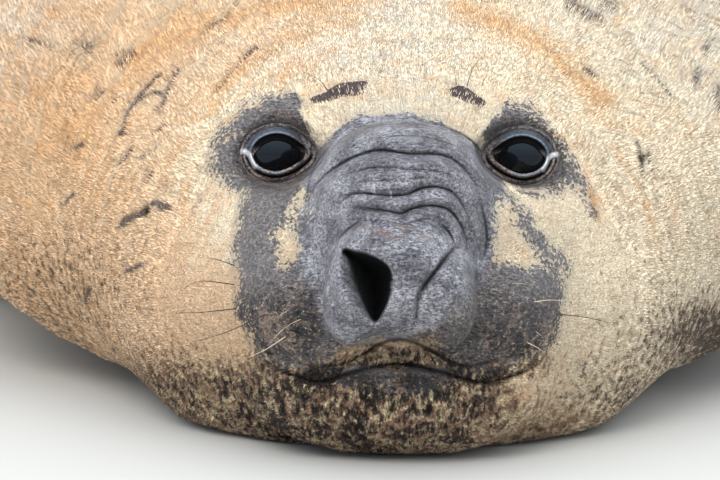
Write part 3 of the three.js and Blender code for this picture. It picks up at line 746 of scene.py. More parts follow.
def mark_skin(points):
    """How much of each marking there is at each point, from 0 to 1."""
    right, high = seen_places(points)
    _, _, back = face_places(points)
    facing = 1 - step(330, 400, back)
    front = 1 - step(520, 900, points[:, 1])
    drift = layered(points, 190, 32)
    marks = {}
    edge = np.minimum(patch(right, high, MASK), patch(right, high, EYE_PATCH))
    for island in CREAM_ISLANDS:
        edge = np.maximum(edge, np.minimum(-patch(right, high, island) - 1, 4.5))
    lip_skin = np.exp(-((right + 6) / 62) ** 4 - ((high + 95 - 0.002 * right * right) / 15) ** 4)
    lip_skin = 0.9 * np.clip(lip_skin + 0.5 * layered(points, 14, 40), 0, 1) * step(0.02, 0.2, lip_skin)
    bare = np.clip(0.5 - (edge + 4 * layered(points, 22, 31)) / 34, 0, 1)
    marks["bare"] = np.maximum(bare, lip_skin) * facing
    marks["ragged"] = 1 - 0.75 * step(84, 96, high) * (1 - step(100, 118, np.abs(right + 4)))
    marks["slate"] = step(17, -13, patch(right, high, DOME) + 9 * layered(points, 30, 37)) * facing
    radius = np.hypot(right, high + 15)
    field = 0.45 + right / 380 + (high - 60) / 500 + 0.35 * drift
    field = np.maximum(field, 0.75 * (1 - step(10, 60, edge)) * step(-40, 60, high))
    marks["cream"] = np.clip(field * front + (0.42 + 0.9 * drift) * (1 - front), 0, 1)
    corner = step(250, 420, np.abs(right)) * step(110, 270, high)
    marks["ash"] = np.clip(corner * front + 0.9 * layered(points, 260, 33) + 0.1 * (1 - front), 0, 1)
    orange = np.zeros(len(points))
    for band in ORANGE_BANDS:
        far, _ = stroke(right, high, band["line"], 80)
        orange = np.maximum(orange, band["share"] * np.exp(-(far / band["width"]) ** 2))
    wide = 0.35 * (1 - step(-330, -180, right)) + 0.6 * layered(points, 300, 34) * (1 - 0.7 * front)
    marks["orange"] = np.clip(orange * (1 - step(700, 800, points[:, 1])) + np.maximum(wide, 0), 0, 1)
    chin = step(26, -20, patch(right, high, CHIN_PATCH) + 16 * layered(points, 36, 38)) * facing
    low = 1 - step(20, 170, points[:, 2])
    umber = 0.14 + 0.10 * drift + 0.16 * step(0, 200, -high) * front
    umber += sum(share * spot(right, high, at, half) for share, at, half in UMBER_SPOTS)
    umber = umber * front + (0.2 + 0.22 * drift + 0.30 * low) * (1 - front)
    under = step(-88, -118, high + 0.12 * np.abs(right)) * (1 - step(230, 300, np.abs(right + 20))) * facing
    lip, _ = stroke(right, high - 9, MOUTH_LINE)
    lip = np.exp(-(lip / 13) ** 2) * facing * step(50, 80, back)
    matted = chin * (0.14 + 0.32 * step(-210, -120, right))
    mouth = 0.46 * lip + 0.3 * spot(right, high, (0, -98), (70, 16))
    marks["umber"] = np.clip(umber + matted + mouth, 0, 1)
    marks["olive"] = np.clip(np.maximum(np.maximum(chin, lip), under), 0, 1)
    scar = np.zeros(len(points))
    uneven = 1.25 + 0.5 * noise(points, 7, 35)
    for width, line in SCARS:
        far, _ = stroke(right, high, line)
        thick = width * uneven
        scar = np.maximum(scar, step(thick + 1.1, thick * 0.4, far))
    far_marks = step(0.80, 0.86, noise(points * np.array([1.0, 0.45, 1.3]), 30, 39)) * (1 - front)
    marks["scar"] = scar * (1 - step(900, 1000, points[:, 1])) + far_marks * step(30, 90, points[:, 2])
    plum = np.minimum(patch(right, high, BROW_PATCHES[0]), patch(right, high, BROW_PATCHES[1]))
    marks["plum"] = step(2, -2, plum + 1.5 * layered(points, 9, 36)) * facing
    marks["white_glint"] = marked(right, high, WHITE_GLINTS, 1.3) * facing
    marks["graze"] = marked(right, high, GRAZES, 2.4) * facing
    marks["streak"] = step(170, 230, radius) * (1 - step(430, 560, radius)) * step(-40, 80, high) * front
    return marks


SIDES = (("right", -1), ("left", 1))


def eye_middle(side):
    return from_face([side * EYE_AT[0]], [EYE_AT[1]], [EYE_AT[2]])[0]


def frame_shift():
    """How far back the frame's origin puts the animal, as it is at the middle of the base."""
    low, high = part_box("eye_left")
    return (low.y + high.y) / 2 / METRES - eye_middle(1)[1]


SHIFT = np.array([0.0, frame_shift(), 0.0])


def make_mesh(name, points, faces, marks=None, lie=None, uv=None):
    """A smooth mesh object from points in millimetres and lists of faces with equal corners."""
    mesh = bpy.data.meshes.new(name)
    places = ((points + SHIFT) * METRES).astype(np.float32)
    corners = np.concatenate([f.ravel() for f in faces]).astype(np.int32)
    counts = np.concatenate([np.full(len(f), f.shape[1], np.int32) for f in faces])
    mesh.vertices.add(len(places))
    mesh.vertices.foreach_set("co", places.ravel())
    mesh.loops.add(len(corners))
    mesh.loops.foreach_set("vertex_index", corners)
    mesh.polygons.add(len(counts))
    mesh.polygons.foreach_set("loop_start", (np.cumsum(counts) - counts).astype(np.int32))
    mesh.polygons.foreach_set("loop_total", counts)
    mesh.polygons.foreach_set("use_smooth", np.ones(len(counts), bool))
    for word, values in (marks or {}).items():
        mesh.attributes.new(word, "FLOAT", "POINT").data.foreach_set("value", values.astype(np.float32))
    if lie is not None:
        vectors = mesh.attributes.new("lie", "FLOAT_VECTOR", "POINT").data
        vectors.foreach_set("vector", lie.astype(np.float32).ravel())
    if uv is not None:
        mesh.uv_layers.new(name="OFBake").data.foreach_set("uv", uv[corners].astype(np.float32).ravel())
    mesh.update(calc_edges=True)
    return add_object(name, mesh)


def add_object(name, data):
    made = bpy.data.objects.new(name, data)
    bpy.context.scene.collection.objects.link(made)
    return made


def tube_faces(rows, columns):
    """Quads that join rows of points, each row a closed ring."""
    row, column = np.meshgrid(np.arange(rows - 1), np.arange(columns), indexing="ij")
    after = (column + 1) % columns
    quads = np.stack([row * columns + column, (row + 1) * columns + column,
                      (row + 1) * columns + after, row * columns + after], -1)
    return quads.reshape(-1, 4)


def flipper_rings(shape, side, rows=72, columns=96):
    """Rings of points round a flipper, with its toes and web, and how deep in the body each point is."""
    along, across = unit(shape["along"]), unit(shape["across"])
    normal = unit(np.cross(along, across))
    run = (np.linspace(0, 1, rows) ** 0.9)[:, None]
    turn = (np.arange(columns) / columns * TAU)[None, :]
    lateral, lift = np.cos(turn), np.sin(turn)
    steps = np.linspace(0, 1, len(shape["widths"]))
    table = np.stack([steps, shape["widths"], shape["thicknesses"]], -1).astype(float)
    row = between(table, run[:, 0])
    wide, thick = row[:, 1:2], row[:, 2:3]
    end = np.minimum(1, np.minimum(3 * np.sqrt(1 - run), 3 * np.sqrt(run)))
    toe = np.cos((TOES - 1) * np.pi * lateral)
    fan = np.clip(run * 2 - 0.8, 0, 1)
    scallop = np.where(end > 1e-6, toe * 0.3 + lateral ** 2 - 0.8, -0.5)
    reach = run * shape["length"] * (1 + fan * shape["scallop"] * scallop)
    web = 2.2 * fan * np.cos(10 * run * np.pi) * (1 - toe) / 2
    points = (np.array(shape["root"], float) + along * reach[..., None]
              + across * (lateral * wide * end)[..., None]
              + normal * (lift * (thick + fan * shape["ridge"] * toe - 1.5 + web) * end)[..., None])
    points = points.reshape(-1, 3)
    inside = -skin_distance(points)
    flare = np.clip(1 + inside / 70, 0, 1) ** 2
    swell = FLIPPER_FLARE * np.sign(lift) * np.abs(lift) ** 0.7 * flare.reshape(rows, columns)
    points += normal * swell.reshape(-1, 1)
    points[:, 2] = highest(points[:, 2], 0.0, 8)
    points[:, 0] *= side
    return points.reshape(rows, columns, 3), inside.reshape(rows, columns)


def ball_rings(at, half, rows, columns):
    """Rings of points on an ellipsoid, from front to back."""
    turn = np.linspace(0, np.pi, rows)[:, None]
    around = (np.arange(columns) / columns * TAU)[None, :]
    wide = np.sin(turn)
    ball = np.stack([wide * np.cos(around), -np.cos(turn) + 0 * around, wide * np.sin(around)], -1)
    return np.array(at, float) + ball * np.array(half, float)


def run_and_turn(rings, start=0.0):
    """Where each point is along the body in metres, and round it, for streaks that follow the coat."""
    step_length = np.linalg.norm(np.diff(rings, axis=0), axis=2)
    run = np.concatenate([np.zeros((1, rings.shape[1])), np.cumsum(step_length, 0)]) * METRES + start
    smooth = run.mean(1, keepdims=True) * 0.5 + run * 0.5
    turn = np.arange(rings.shape[1]) / rings.shape[1] * TAU
    return np.stack([np.cos(turn) + 0 * run, np.sin(turn) + 0 * run, smooth], -1).reshape(-1, 3)


def grid_places(rows, columns, low, high):
    """Places on the unwrap, on an even grid between two corners."""
    across, along = np.linspace(low[0], high[0], columns), np.linspace(low[1], high[1], rows)
    v, u = np.meshgrid(along, across, indexing="ij")
    return np.stack([u, v], -1).reshape(-1, 2)


def make_islands():
    """The swept skin, the flippers and the tail, each as rings of points with their markings."""
    rings = swept_skin()
    points = rings.reshape(-1, 3)
    masks = {word: np.zeros(len(points)) for word in MASKS}
    marks = mark_skin(points)
    furred = 1 - step(0.3, 0.7, marks["bare"])
    normals = ring_normals(rings).reshape(-1, 3)
    points += normals * (COAT_DEPTH * (1 - furred) * step(5, 20, points[:, 2]))[:, None]
    ripple_neck(rings, masks)
    shape_face(points, masks)
    marks.update(masks)
    islands = [dict(rings=rings, marks=marks, inside=None)]
    for side in (-1, 1):
        for shape in (FORE_FLIPPER, HIND_FLIPPER):
            islands.append(limb(*flipper_rings(shape, side)))
    tail = ball_rings(TAIL_AT, TAIL_HALF, 30, 40)
    islands.append(limb(tail, -skin_distance(tail.reshape(-1, 3)).reshape(tail.shape[:2])))
    for number, island in enumerate(islands):
        rows, columns = island["rings"].shape[:2]
        low, high = (0.12, 0), (1, 1)
        if number:
            low, high = (0.0, 0.2 * (number - 1)), (0.1, 0.2 * (number - 1) + 0.15)
        island["lie"] = run_and_turn(island["rings"], number * 3.0)
        island["uv"] = grid_places(rows, columns, low, high)
    return islands


def limb(rings, inside):
    return dict(rings=rings, marks=limb_marks(rings.reshape(-1, 3), inside.ravel()), inside=inside)


def limb_marks(points, inside):
    """The markings of the flippers and tail, which are darker towards their ends."""
    marks = mark_skin(points)
    out = step(10, 160, -inside)
    for word in MASKS:
        marks[word] = np.zeros(len(points))
    marks["umber"] = np.clip(marks["umber"] + 0.30 * out, 0, 1)
    marks["ash"] = marks["ash"] * (1 - 0.6 * out)
    marks["cream"] = marks["cream"] * (1 - 0.5 * out)
    marks["olive"] = 0.3 * out
    return marks


# Faces of the limbs that lie deeper in the body than this are left out
LIMB_BURIED = 14.0


def make_skin(islands):
    """One skin over the head, trunk, body, flippers and tail."""
    faces, first = [], 0
    for island in islands:
        flat = island["rings"].reshape(-1, 3)
        quads = tube_faces(*island["rings"].shape[:2])
        if island["inside"] is not None:
            buried = (island["inside"].ravel() > LIMB_BURIED)[quads].all(1)
            quads = quads[~buried]
        faces.append(facing_out(flat, quads) + first)
        first += len(flat)

    words = MARKINGS + MASKS
    marks = {word: np.concatenate([island["marks"][word] for island in islands]) for word in words}
    points = np.concatenate([island["rings"].reshape(-1, 3) for island in islands])
    lie, uv = (np.concatenate([island[key] for island in islands]) for key in ("lie", "uv"))
    return make_mesh("skin", points, faces, marks, lie, uv)


def facing_out(points, quads):
    """The quads with their corners in the order that makes them face away from inside."""
    middle = points.mean(0)
    a, b, c = (points[quads[:, k]] for k in range(3))
    volume = np.einsum("ij,ij->", np.cross(b - a, c - a), a - middle)
    return quads if volume > 0 else quads[:, ::-1]


# The coat's tufts: which skin they grow from, how long and wide they are, how far they stand off
TUFTS_IN_PIECE = 48000
COATS = (
    dict(names=("coat_face",), islands=(0,), stations=(0.0, 0.62), length=(4, 8), width=(0.8, 1.4),
         lift=0.16, share=1.0),
    dict(names=("coat_neck_1", "coat_neck_2"), islands=(0,), stations=(0.60, 1.06), length=(9, 17),
         width=(1.2, 1.9), lift=0.11, share=1.0),
    dict(names=("coat_body_1", "coat_body_2"), islands=(0,), stations=(1.04, 2.9), length=(22, 40),
         width=(3.6, 6.5), lift=0.07, share=1.0),
    dict(names=("coat_limbs",), islands=(1, 2, 3, 4, 5), stations=(0.0, 9.0), length=(10, 18),
         width=(1.8, 3.0), lift=0.08, share=0.5),
)
TUFT_ROOT_DEPTH, TUFT_LEAST_HEIGHT = 0.9, 0.6
TUFT_FACES = ((0, 2, 3), (2, 1, 3), (0, 1, 2), (0, 3, 1))
TUFT_PATCH = 0.0015


def coat_ground(island, stations_used):
    """What the tufts need to know of the skin, at each of its places between two stations."""
    rings = island["rings"]
    stations = np.concatenate([FACE_RINGS, BODY_RINGS])
    if len(stations) != len(rings):
        stations = np.linspace(0.02, 1, len(rings))
    rows = np.nonzero((stations[:-1] >= stations_used[0]) & (stations[:-1] <= stations_used[1]))[0]
    here = rings[rows]
    run = rings[rows + 1] - here
    aside = np.roll(here, -1, 1) - here
    shape = rings.shape[:2]
    marks = {word: values.reshape(shape)[rows].ravel() for word, values in island["marks"].items()}
    grows = (1 - step(0.32, 0.46, marks["bare"])) * (1 - marks["lid"]) * (1 - marks["nostril_shade"])
    grows = grows * (1 - 0.7 * marks["crease"]) * (1 - 0.8 * step(0.2, 0.6, marks["scar"]))
    grows = grows * (1 - 0.8 * marks["plum"]) * (here.reshape(-1, 3)[:, 2] > 3)
    if island["inside"] is not None:
        grows = grows * (island["inside"][rows].ravel() < 0)
    ground = {word: marks[word] for word in MARKINGS + ("crease", "ring")}
    ground["weight"] = np.linalg.norm(np.cross(run, aside), axis=2).ravel() * grows
    ground["root"], ground["run"], ground["aside"] = (part.reshape(-1, 3) for part in (here, run, aside))
    ground["normal"] = ring_normals(rings)[rows].reshape(-1, 3)
    ground["lie"] = island["lie"].reshape(rings.shape)[rows].reshape(-1, 3)
    ground["uv"] = island["uv"].reshape(shape + (2,))[rows].reshape(-1, 2)
    return ground


def make_coat(name, coat, islands):
    """Flat tapered tufts rooted in the skin, which lie back along the body."""
    grounds = [coat_ground(islands[number], coat["stations"]) for number in coat["islands"]]
    ground = {word: np.concatenate([one[word] for one in grounds]) for word in grounds[0]}
    count = int(TUFTS_IN_PIECE * coat["share"])
    picked = rng.choice(len(ground["weight"]), count, p=ground["weight"] / ground["weight"].sum())
    ground = {word: values[picked] for word, values in ground.items()}
    share = rng.random((2, count, 1))
    root = ground["root"] + ground["run"] * share[0] + ground["aside"] * share[1]
    normal = ground["normal"]
    run = unit(ground["run"] - normal * np.einsum("ij,ij->i", ground["run"], normal)[:, None])
    messy = 1 + 2.0 * ground["olive"][:, None]
    sway = 0.4 * layered(root, 60, 41)[:, None] * messy + rng.normal(0, 0.14, (count, 1)) * messy
    run = unit(run + np.cross(run, normal) * sway)
    side = np.cross(run, normal)
    grown = (0.65 + 0.35 * rng.random((count, 1))) * (1 + 0.5 * ground["olive"][:, None])
    least, most = coat["length"]
    long = least + (most - least) * rng.random((count, 1)) * grown
    least, most = coat["width"]
    wide = least + (most - least) * rng.random((count, 1))
    lift = coat["lift"] * long * (0.4 + rng.random((count, 1))) * messy
    left = root - side * wide / 2 - normal * TUFT_ROOT_DEPTH
    right = root + side * wide / 2 - normal * TUFT_ROOT_DEPTH
    back = root + run * long * 0.35 + normal * (0.35 * wide + 0.3 * lift)
    tip = root + run * long + normal * (0.4 * lift)
    points = np.stack([left, right, back, tip], 1).reshape(-1, 3)
    points[:, 2] = np.maximum(points[:, 2], TUFT_LEAST_HEIGHT)
    corners = np.arange(count)[:, None] * 4
    faces = np.concatenate([corners + np.array(order) for order in TUFT_FACES])
    own = {word: np.repeat(ground[word], 4) for word in MARKINGS + ("crease", "ring")}
    own["tone"] = np.repeat(rng.random(count), 4)
    patch_corners = np.array([(-1, -1), (1, -1), (0, 0), (0, 1)]) * TUFT_PATCH
    uv = (np.clip(ground["uv"], 0.002, 0.998)[:, None] + patch_corners).reshape(-1, 2)
    return make_mesh(name, points, [faces], own, np.repeat(ground["lie"], 4, 0), uv)


# Nodes
class Look:
    """One material, and short ways to add nodes to it."""

    def __init__(self, name, roughness=0.6, **sockets):
        self.material = bpy.data.materials.new(name)
        self.material.use_nodes = True
        self.tree = self.material.node_tree
        self.shader = self.tree.nodes["Principled BSDF"]
        self.shader.inputs["Roughness"].default_value = roughness
        for word, value in sockets.items():
            self.shader.inputs[word.replace("_", " ")].default_value = value

    def put(self, socket, value):
        if isinstance(value, bpy.types.NodeSocket):
            self.tree.links.new(value, socket)
        else:
            socket.default_value = value

    def node(self, kind, inputs=(), **settings):
        made = self.tree.nodes.new("ShaderNode" + kind)
        for word, value in settings.items():
            setattr(made, word, value)
        for key, value in dict(inputs).items():
            self.put(made.inputs[key], value)
        return made

    def mark(self, word):
        return self.node("Attribute", attribute_name=word).outputs["Fac"]

    def place(self):
        return self.node("TexCoord").outputs["Object"]

    def scaled(self, vector, amounts):
        return self.node("VectorMath", {0: vector, 1: amounts}, operation="MULTIPLY").outputs[0]

    def lie(self, around, along):
        """Coordinates that run along the coat and round the body, each stretched by its own amount."""
        vector = self.node("Attribute", attribute_name="lie").outputs["Vector"]
        return self.scaled(vector, (around, around, along))

    def noise(self, vector, scale, detail=3.0, roughness=0.55, distortion=0.0):
        return self.node("TexNoise", {"Vector": vector, "Scale": scale, "Detail": detail,
                                      "Roughness": roughness, "Distortion": distortion}).outputs[0]

    def math(self, operation, a, b=None):
        return self.node("Math", {0: a, 1: b} if b is not None else {0: a}, operation=operation).outputs[0]

    def times(self, a, b):
        return self.math("MULTIPLY", a, b)

    def plus(self, a, b):
        return self.math("ADD", a, b)

    def ramp(self, value, low, high, to_low=0.0, to_high=1.0):
        return self.node("MapRange", {"Value": value, "From Min": low, "From Max": high, "To Min": to_low,
                                      "To Max": to_high}, interpolation_type="SMOOTHSTEP").outputs[0]

    def mix(self, amount, first, second, how="MIX"):
        made = self.node("Mix", data_type="RGBA", blend_type=how)
        self.put(made.inputs[0], amount)
        self.put(made.inputs[6], colour(first) if isinstance(first, str) else first)
        self.put(made.inputs[7], colour(second) if isinstance(second, str) else second)
        return made.outputs[2]

    def bump(self, height, strength, distance):
        return self.node("Bump", {"Height": height, "Strength": strength, "Distance": distance}).outputs[0]

    def finish(self, **sockets):
        """Connects the shader's own sockets."""
        for word, value in sockets.items():
            self.put(self.shader.inputs[word.replace("_", " ")], value)
        return self.material


def colour(word):
    """A named colour as linear light."""
    channels = [c / 255 for c in COLOURS[word]]
    return tuple(c / 12.92 if c <= 0.04045 else ((c + 0.055) / 1.055) ** 2.4 for c in channels) + (1.0,)


def fur_colour(look):
    """The moulting coat: gold to cream, with orange bands, dark speckle and scars."""
    place = look.place()
    fine = look.noise(place, 430, 4, 0.65)
    speckle = look.noise(place, 120, 3)
    lumps = look.noise(place, 38, 4)
    hairs = look.noise(look.lie(170, 30), 1.0, 3, 0.6)
    rings = look.noise(look.lie(4.5, 240), 1.0, 4, 0.6)
    broad = look.noise(look.lie(3.0, 70), 1.0, 3, 0.6)
    streak = look.plus(look.times(rings, 0.6), look.times(broad, 0.4))
    streak = look.times(look.math("SUBTRACT", streak, 0.5), look.mark("streak"))
    cream = look.plus(look.mark("cream"), look.ramp(lumps, 0.3, 0.7, -0.2, 0.2))
    cream = look.plus(cream, look.times(streak, 6.0))
    tint = look.mix(look.ramp(cream, 0.1, 0.9), "gold", "cream")
    tint = look.mix(look.times(look.mark("ash"), look.ramp(lumps, 0.25, 0.6)), tint, "ash")
    orange = look.times(look.mark("orange"), look.ramp(rings, 0.36, 0.6, 0.3, 1.0))
    tint = look.mix(orange, tint, "orange")
    # Painted shade: the hollows of the neck folds are tinted orange
    tint = look.mix(look.ramp(look.mark("ring"), 0.55, 1.0, 0, 0.3), tint, "orange")
    tint = look.mix(look.ramp(look.plus(hairs, fine), 1.0, 1.24, 0, 0.55), tint, "dun")
    tint = look.mix(look.ramp(streak, 0.04, 0.12, 0, 0.6), tint, "dun")
    tint = look.mix(look.ramp(streak, -0.05, -0.12, 0, 0.5), tint, "orange")
    value = look.plus(look.times(speckle, 0.55), look.times(fine, 0.45))
    value = look.times(look.math("SUBTRACT", value, 0.5), 2.2)
    value = look.math("SUBTRACT", look.times(look.mark("umber"), 0.9), value)
    tint = look.mix(look.ramp(value, 0.26, 0.50, 0, 0.6), tint, "bark")
    tint = look.mix(look.ramp(value, 0.44, 0.66, 0, 0.9), tint, "umber")
    down = look.noise(look.scaled(place, (190, 190, 85)), 1.0, 3, 0.6)
    clumps = look.plus(down, look.times(lumps, 0.55))
    clumps = look.plus(clumps, look.times(fine, 0.35))
    clumps = look.math("SUBTRACT", clumps, look.times(look.mark("umber"), 0.34))
    pale = look.mix(look.ramp(speckle, 0.42, 0.58), "clay", "olive")
    matted = look.mix(look.ramp(clumps, 0.63, 0.80), "chin", pale)
    matted = look.mix(look.ramp(clumps, 0.63, 0.53, 0, 0.9), matted, "black")
    tint = look.mix(look.mark("olive"), tint, matted)
    tint = look.mix(look.times(look.mark("scar"), look.ramp(fine, 0.35, 0.55, 0.55, 0.95)), tint, "scar")
    return tint, fine, hairs, lumps


def bare_colour(look, fine):
    """The dark bare skin: slate on the dome, darker beside it, mottled on the pads."""
    place = look.place()
    wrinkles = look.noise(look.scaled(place, (80, 300, 380)), 1.0, 4, 0.6, 0.5)
    flakes = look.noise(place, 260, 5, 0.7)
    blotch = look.noise(place, 30, 4, 0.6)
    line = look.ramp(look.math("ABSOLUTE", look.math("SUBTRACT", wrinkles, 0.5)), 0.0, 0.04, 1.0, 0.0)
    scales = look.noise(look.scaled(place, (170, 520, 640)), 1.0, 4, 0.7, 0.8)
    line = look.math("MAXIMUM", line, look.ramp(scales, 0.44, 0.34, 0, 1))
    slate = look.mix(look.ramp(blotch, 0.35, 0.65), "dusk", "slate")
    mask = look.mix(look.ramp(blotch, 0.38, 0.66), "mask", "taupe")
    pad = look.mix(look.ramp(look.plus(blotch, look.times(fine, 0.4)), 0.70, 0.84, 0, 0.6), "pad", "tan")
    pads = look.mark("pads")
    tint = look.mix(pads, mask, pad)
    dome = look.ramp(look.plus(look.mark("slate"), look.times(blotch, 0.4)), 0.45, 0.95)
    tint = look.mix(dome, tint, slate)
    shade = look.ramp(look.plus(look.plus(flakes, look.times(fine, 0.8)), scales), 1.12, 1.68, 0.42, 1.5)
    shade = look.times(shade, look.ramp(blotch, 0.3, 0.7, 0.8, 1.2))
    tint = look.node("HueSaturation", {"Value": shade, "Color": tint}).outputs[0]
    tint = look.mix(look.times(line, 0.5), tint, "crack")
    flecks = look.times(look.ramp(flakes, 0.57, 0.63), look.plus(look.times(pads, 0.5), 0.38))
    tint = look.mix(flecks, tint, "fleck")
    clots = look.noise(place, 110, 4, 0.65)
    tint = look.mix(look.times(look.ramp(clots, 0.55, 0.61, 0, 0.5), pads), tint, "tan")
    tint = look.mix(look.times(look.mark("graze"), look.ramp(flakes, 0.46, 0.54, 0, 0.7)), tint, "clay")
    # Painted highlight: small white dashes on the trunk
    tint = look.mix(look.mark("white_glint"), tint, "glint")
    pits = look.noise(look.scaled(place, (90, 90, 200)), 1.0, 3, 0.5)
    tint = look.mix(look.times(look.ramp(pits, 0.60, 0.68), pads), tint, "black")
    return tint, wrinkles, scales, line, flakes


def skin_look():
    """Fur and bare skin, with a ragged edge between them."""
    look = Look("moulting_skin", 0.7)
    fur, fine, hairs, lumps = fur_colour(look)
    bare, wrinkles, scales, line, flakes = bare_colour(look, fine)
    ragged = look.plus(look.ramp(flakes, 0.7, 0.3, -0.36, 0.26), look.ramp(lumps, 0.3, 0.7, -0.18, 0.18))
    ragged = look.times(ragged, look.mark("ragged"))
    edge = look.ramp(look.plus(look.mark("bare"), ragged), 0.44, 0.56)
    tint = look.mix(edge, fur, bare)
    plum = look.ramp(look.plus(look.mark("plum"), look.times(flakes, 0.8)), 0.8, 0.95)
    tint = look.mix(plum, tint, look.mix(look.ramp(fine, 0.35, 0.5), "crack", "plum"))
    # Painted shade: folds, pits and the mouth line are painted black, and so is the deep open nostril
    tint = look.mix(look.ramp(look.mark("crease"), 0.1, 1.0, 0, 0.8), tint, "black")
    tint = look.mix(look.mark("nostril_shade"), tint, "black")
    fur_bump = look.bump(look.plus(hairs, fine), 1.0, 0.008)
    relief = look.plus(look.times(flakes, 0.5), look.times(scales, 0.6))
    relief = look.plus(look.times(wrinkles, 0.7), relief)
    bare_bump = look.bump(look.math("SUBTRACT", relief, look.times(line, 0.3)), 1.0, 0.0085)
    normal = look.node("Mix", {0: edge, 4: fur_bump, 5: bare_bump}, data_type="VECTOR").outputs[1]
    return look.finish(Base_Color=tint, Roughness=look.ramp(edge, 0, 1, 0.85, 0.5), Normal=normal)


def coat_look():
    """The fur's colour, a little lighter or darker from tuft to tuft."""
    look = Look("moulting_coat", 0.78)
    tint = fur_colour(look)[0]
    # Painted shade: tufts that grow in folds are darkened to umber
    tint = look.mix(look.ramp(look.mark("crease"), 0.2, 1.0, 0, 0.7), tint, "umber")
    tint = look.mix(look.ramp(look.mark("tone"), 0.0, 0.3, 0.2, 0), tint, "bark")
    light = look.ramp(look.mark("tone"), 0, 1, 0.84, 1.17)
    tint = look.node("HueSaturation", {"Value": light, "Color": tint}).outputs[0]
    return look.finish(Base_Color=tint)


def lid_look():
    look = Look("lids", 0.62, Specular_IOR_Level=0.08)
    fine = look.noise(look.place(), 420, 4, 0.65)
    flakes = look.noise(look.place(), 260, 5, 0.7)
    tint = look.mix(look.ramp(fine, 0.35, 0.65), "pad", "mask")
    tint = look.mix(look.times(look.ramp(flakes, 0.5, 0.6, 0, 0.9), look.mark("low")), tint, "tan")
    tint = look.mix(look.ramp(flakes, 0.47, 0.38, 0, 0.8), tint, "crack")
    tint = look.mix(look.mark("lid"), tint, look.mix(look.ramp(flakes, 0.32, 0.5), "crack", "lid"))
    # The pale mark: the lower lid's own pale rim, and a painted highlight along the upper lid's roll
    tint = look.mix(look.mark("pale"), tint, look.mix(look.ramp(fine, 0.3, 0.6), "lid", "rim"))
    # Partly painted shade: black for the lash line with the lid's shadow, and in the lids' grooves
    tint = look.mix(look.mark("dark"), tint, "black")
    # Painted highlight: the streak at the outer corner is painted near white, and made less rough
    tint = look.mix(look.mark("glint"), tint, "glint")
    rough = look.ramp(look.mark("glint"), 0, 1, 0.62, 0.2)
    normal = look.bump(look.plus(fine, flakes), 0.7, 0.003)
    return look.finish(Base_Color=tint, Roughness=rough, Normal=normal)


def eye_look():
    look = Look("eye", 0.04, IOR=1.4, Specular_Tint=(0.62, 0.8, 1.0, 1.0))
    ring = look.mark("iris")
    streak = look.noise(look.place(), 900, 3)
    iris = look.mix(look.ramp(streak, 0.3, 0.7), "black", "ball")
    tint = look.mix(look.ramp(ring, 0.36, 0.46), "black", iris)
    tint = look.mix(look.ramp(ring, 0.7, 0.9), tint, "ball")
    return look.finish(Base_Color=tint)


def plain_look(name, word, second, roughness, scale, **sockets):
    look = Look(name, roughness, **sockets)
    grain = look.noise(look.place(), scale, 4)
    tint = look.mix(look.ramp(grain, 0.3, 0.75), word, second)
    return look.finish(Base_Color=tint, Normal=look.bump(grain, 0.3, 0.001))


# Eyes. The eyeballs are a little smaller than the solids' eyes, and look a little outwards.
BALL_RADIUS, GAZE_ASIDE = EYE_RADIUS - 0.3, 0.18


def make_eyes(material):
    for word, side in SIDES:
        rings = ball_rings((0, 0, 0), (BALL_RADIUS,) * 3, 48, 64)
        flat = rings.reshape(-1, 3)
        toward = unit(-INTO_FACE + np.array([side * GAZE_ASIDE, 0, 0]))
        iris = np.arccos(np.clip(flat @ toward / BALL_RADIUS, -1, 1))
        quads = facing_out(flat, tube_faces(*rings.shape[:2]))
        piece = make_mesh("eyeball_" + word, flat + eye_middle(side), [quads], {"iris": iris})
        piece.data.materials.append(material)
        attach(piece, "root")
        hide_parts("eye_" + word)


def plain_back(aside, up):
    """How far behind the nose the plain skin is at places right of and above it."""
    back = np.full(len(aside), 90.0)
    for _ in range(80):
        back += 0.75 * skin_distance(from_face(aside, up, back))
    return back


# A painted highlight, as of a tear, at the outer corner of each eye, as millimetres inwards and up from the
# eye's middle
TEAR_STREAK = ((-40, 2), (-33, 1.5), (-28.5, -3), (-26, -9), (-23, -15))

# Steps across the lids, outwards from their edge, and where the lids let go of the eyeball
LID_STEPS = np.linspace(-5.4, LID_REACH, 36)
LID_GAP, LID_HOLDS, LID_LETS_GO = 0.8, 8.0, 26.0
LID_RIM_SINKS, LID_RIM_WIDE = 3.5, 5.0


def ridge(value, middle, width, power=2):
    """1 at the middle and nothing further away than about the width."""
    return np.exp(-((value - middle) / width) ** power)


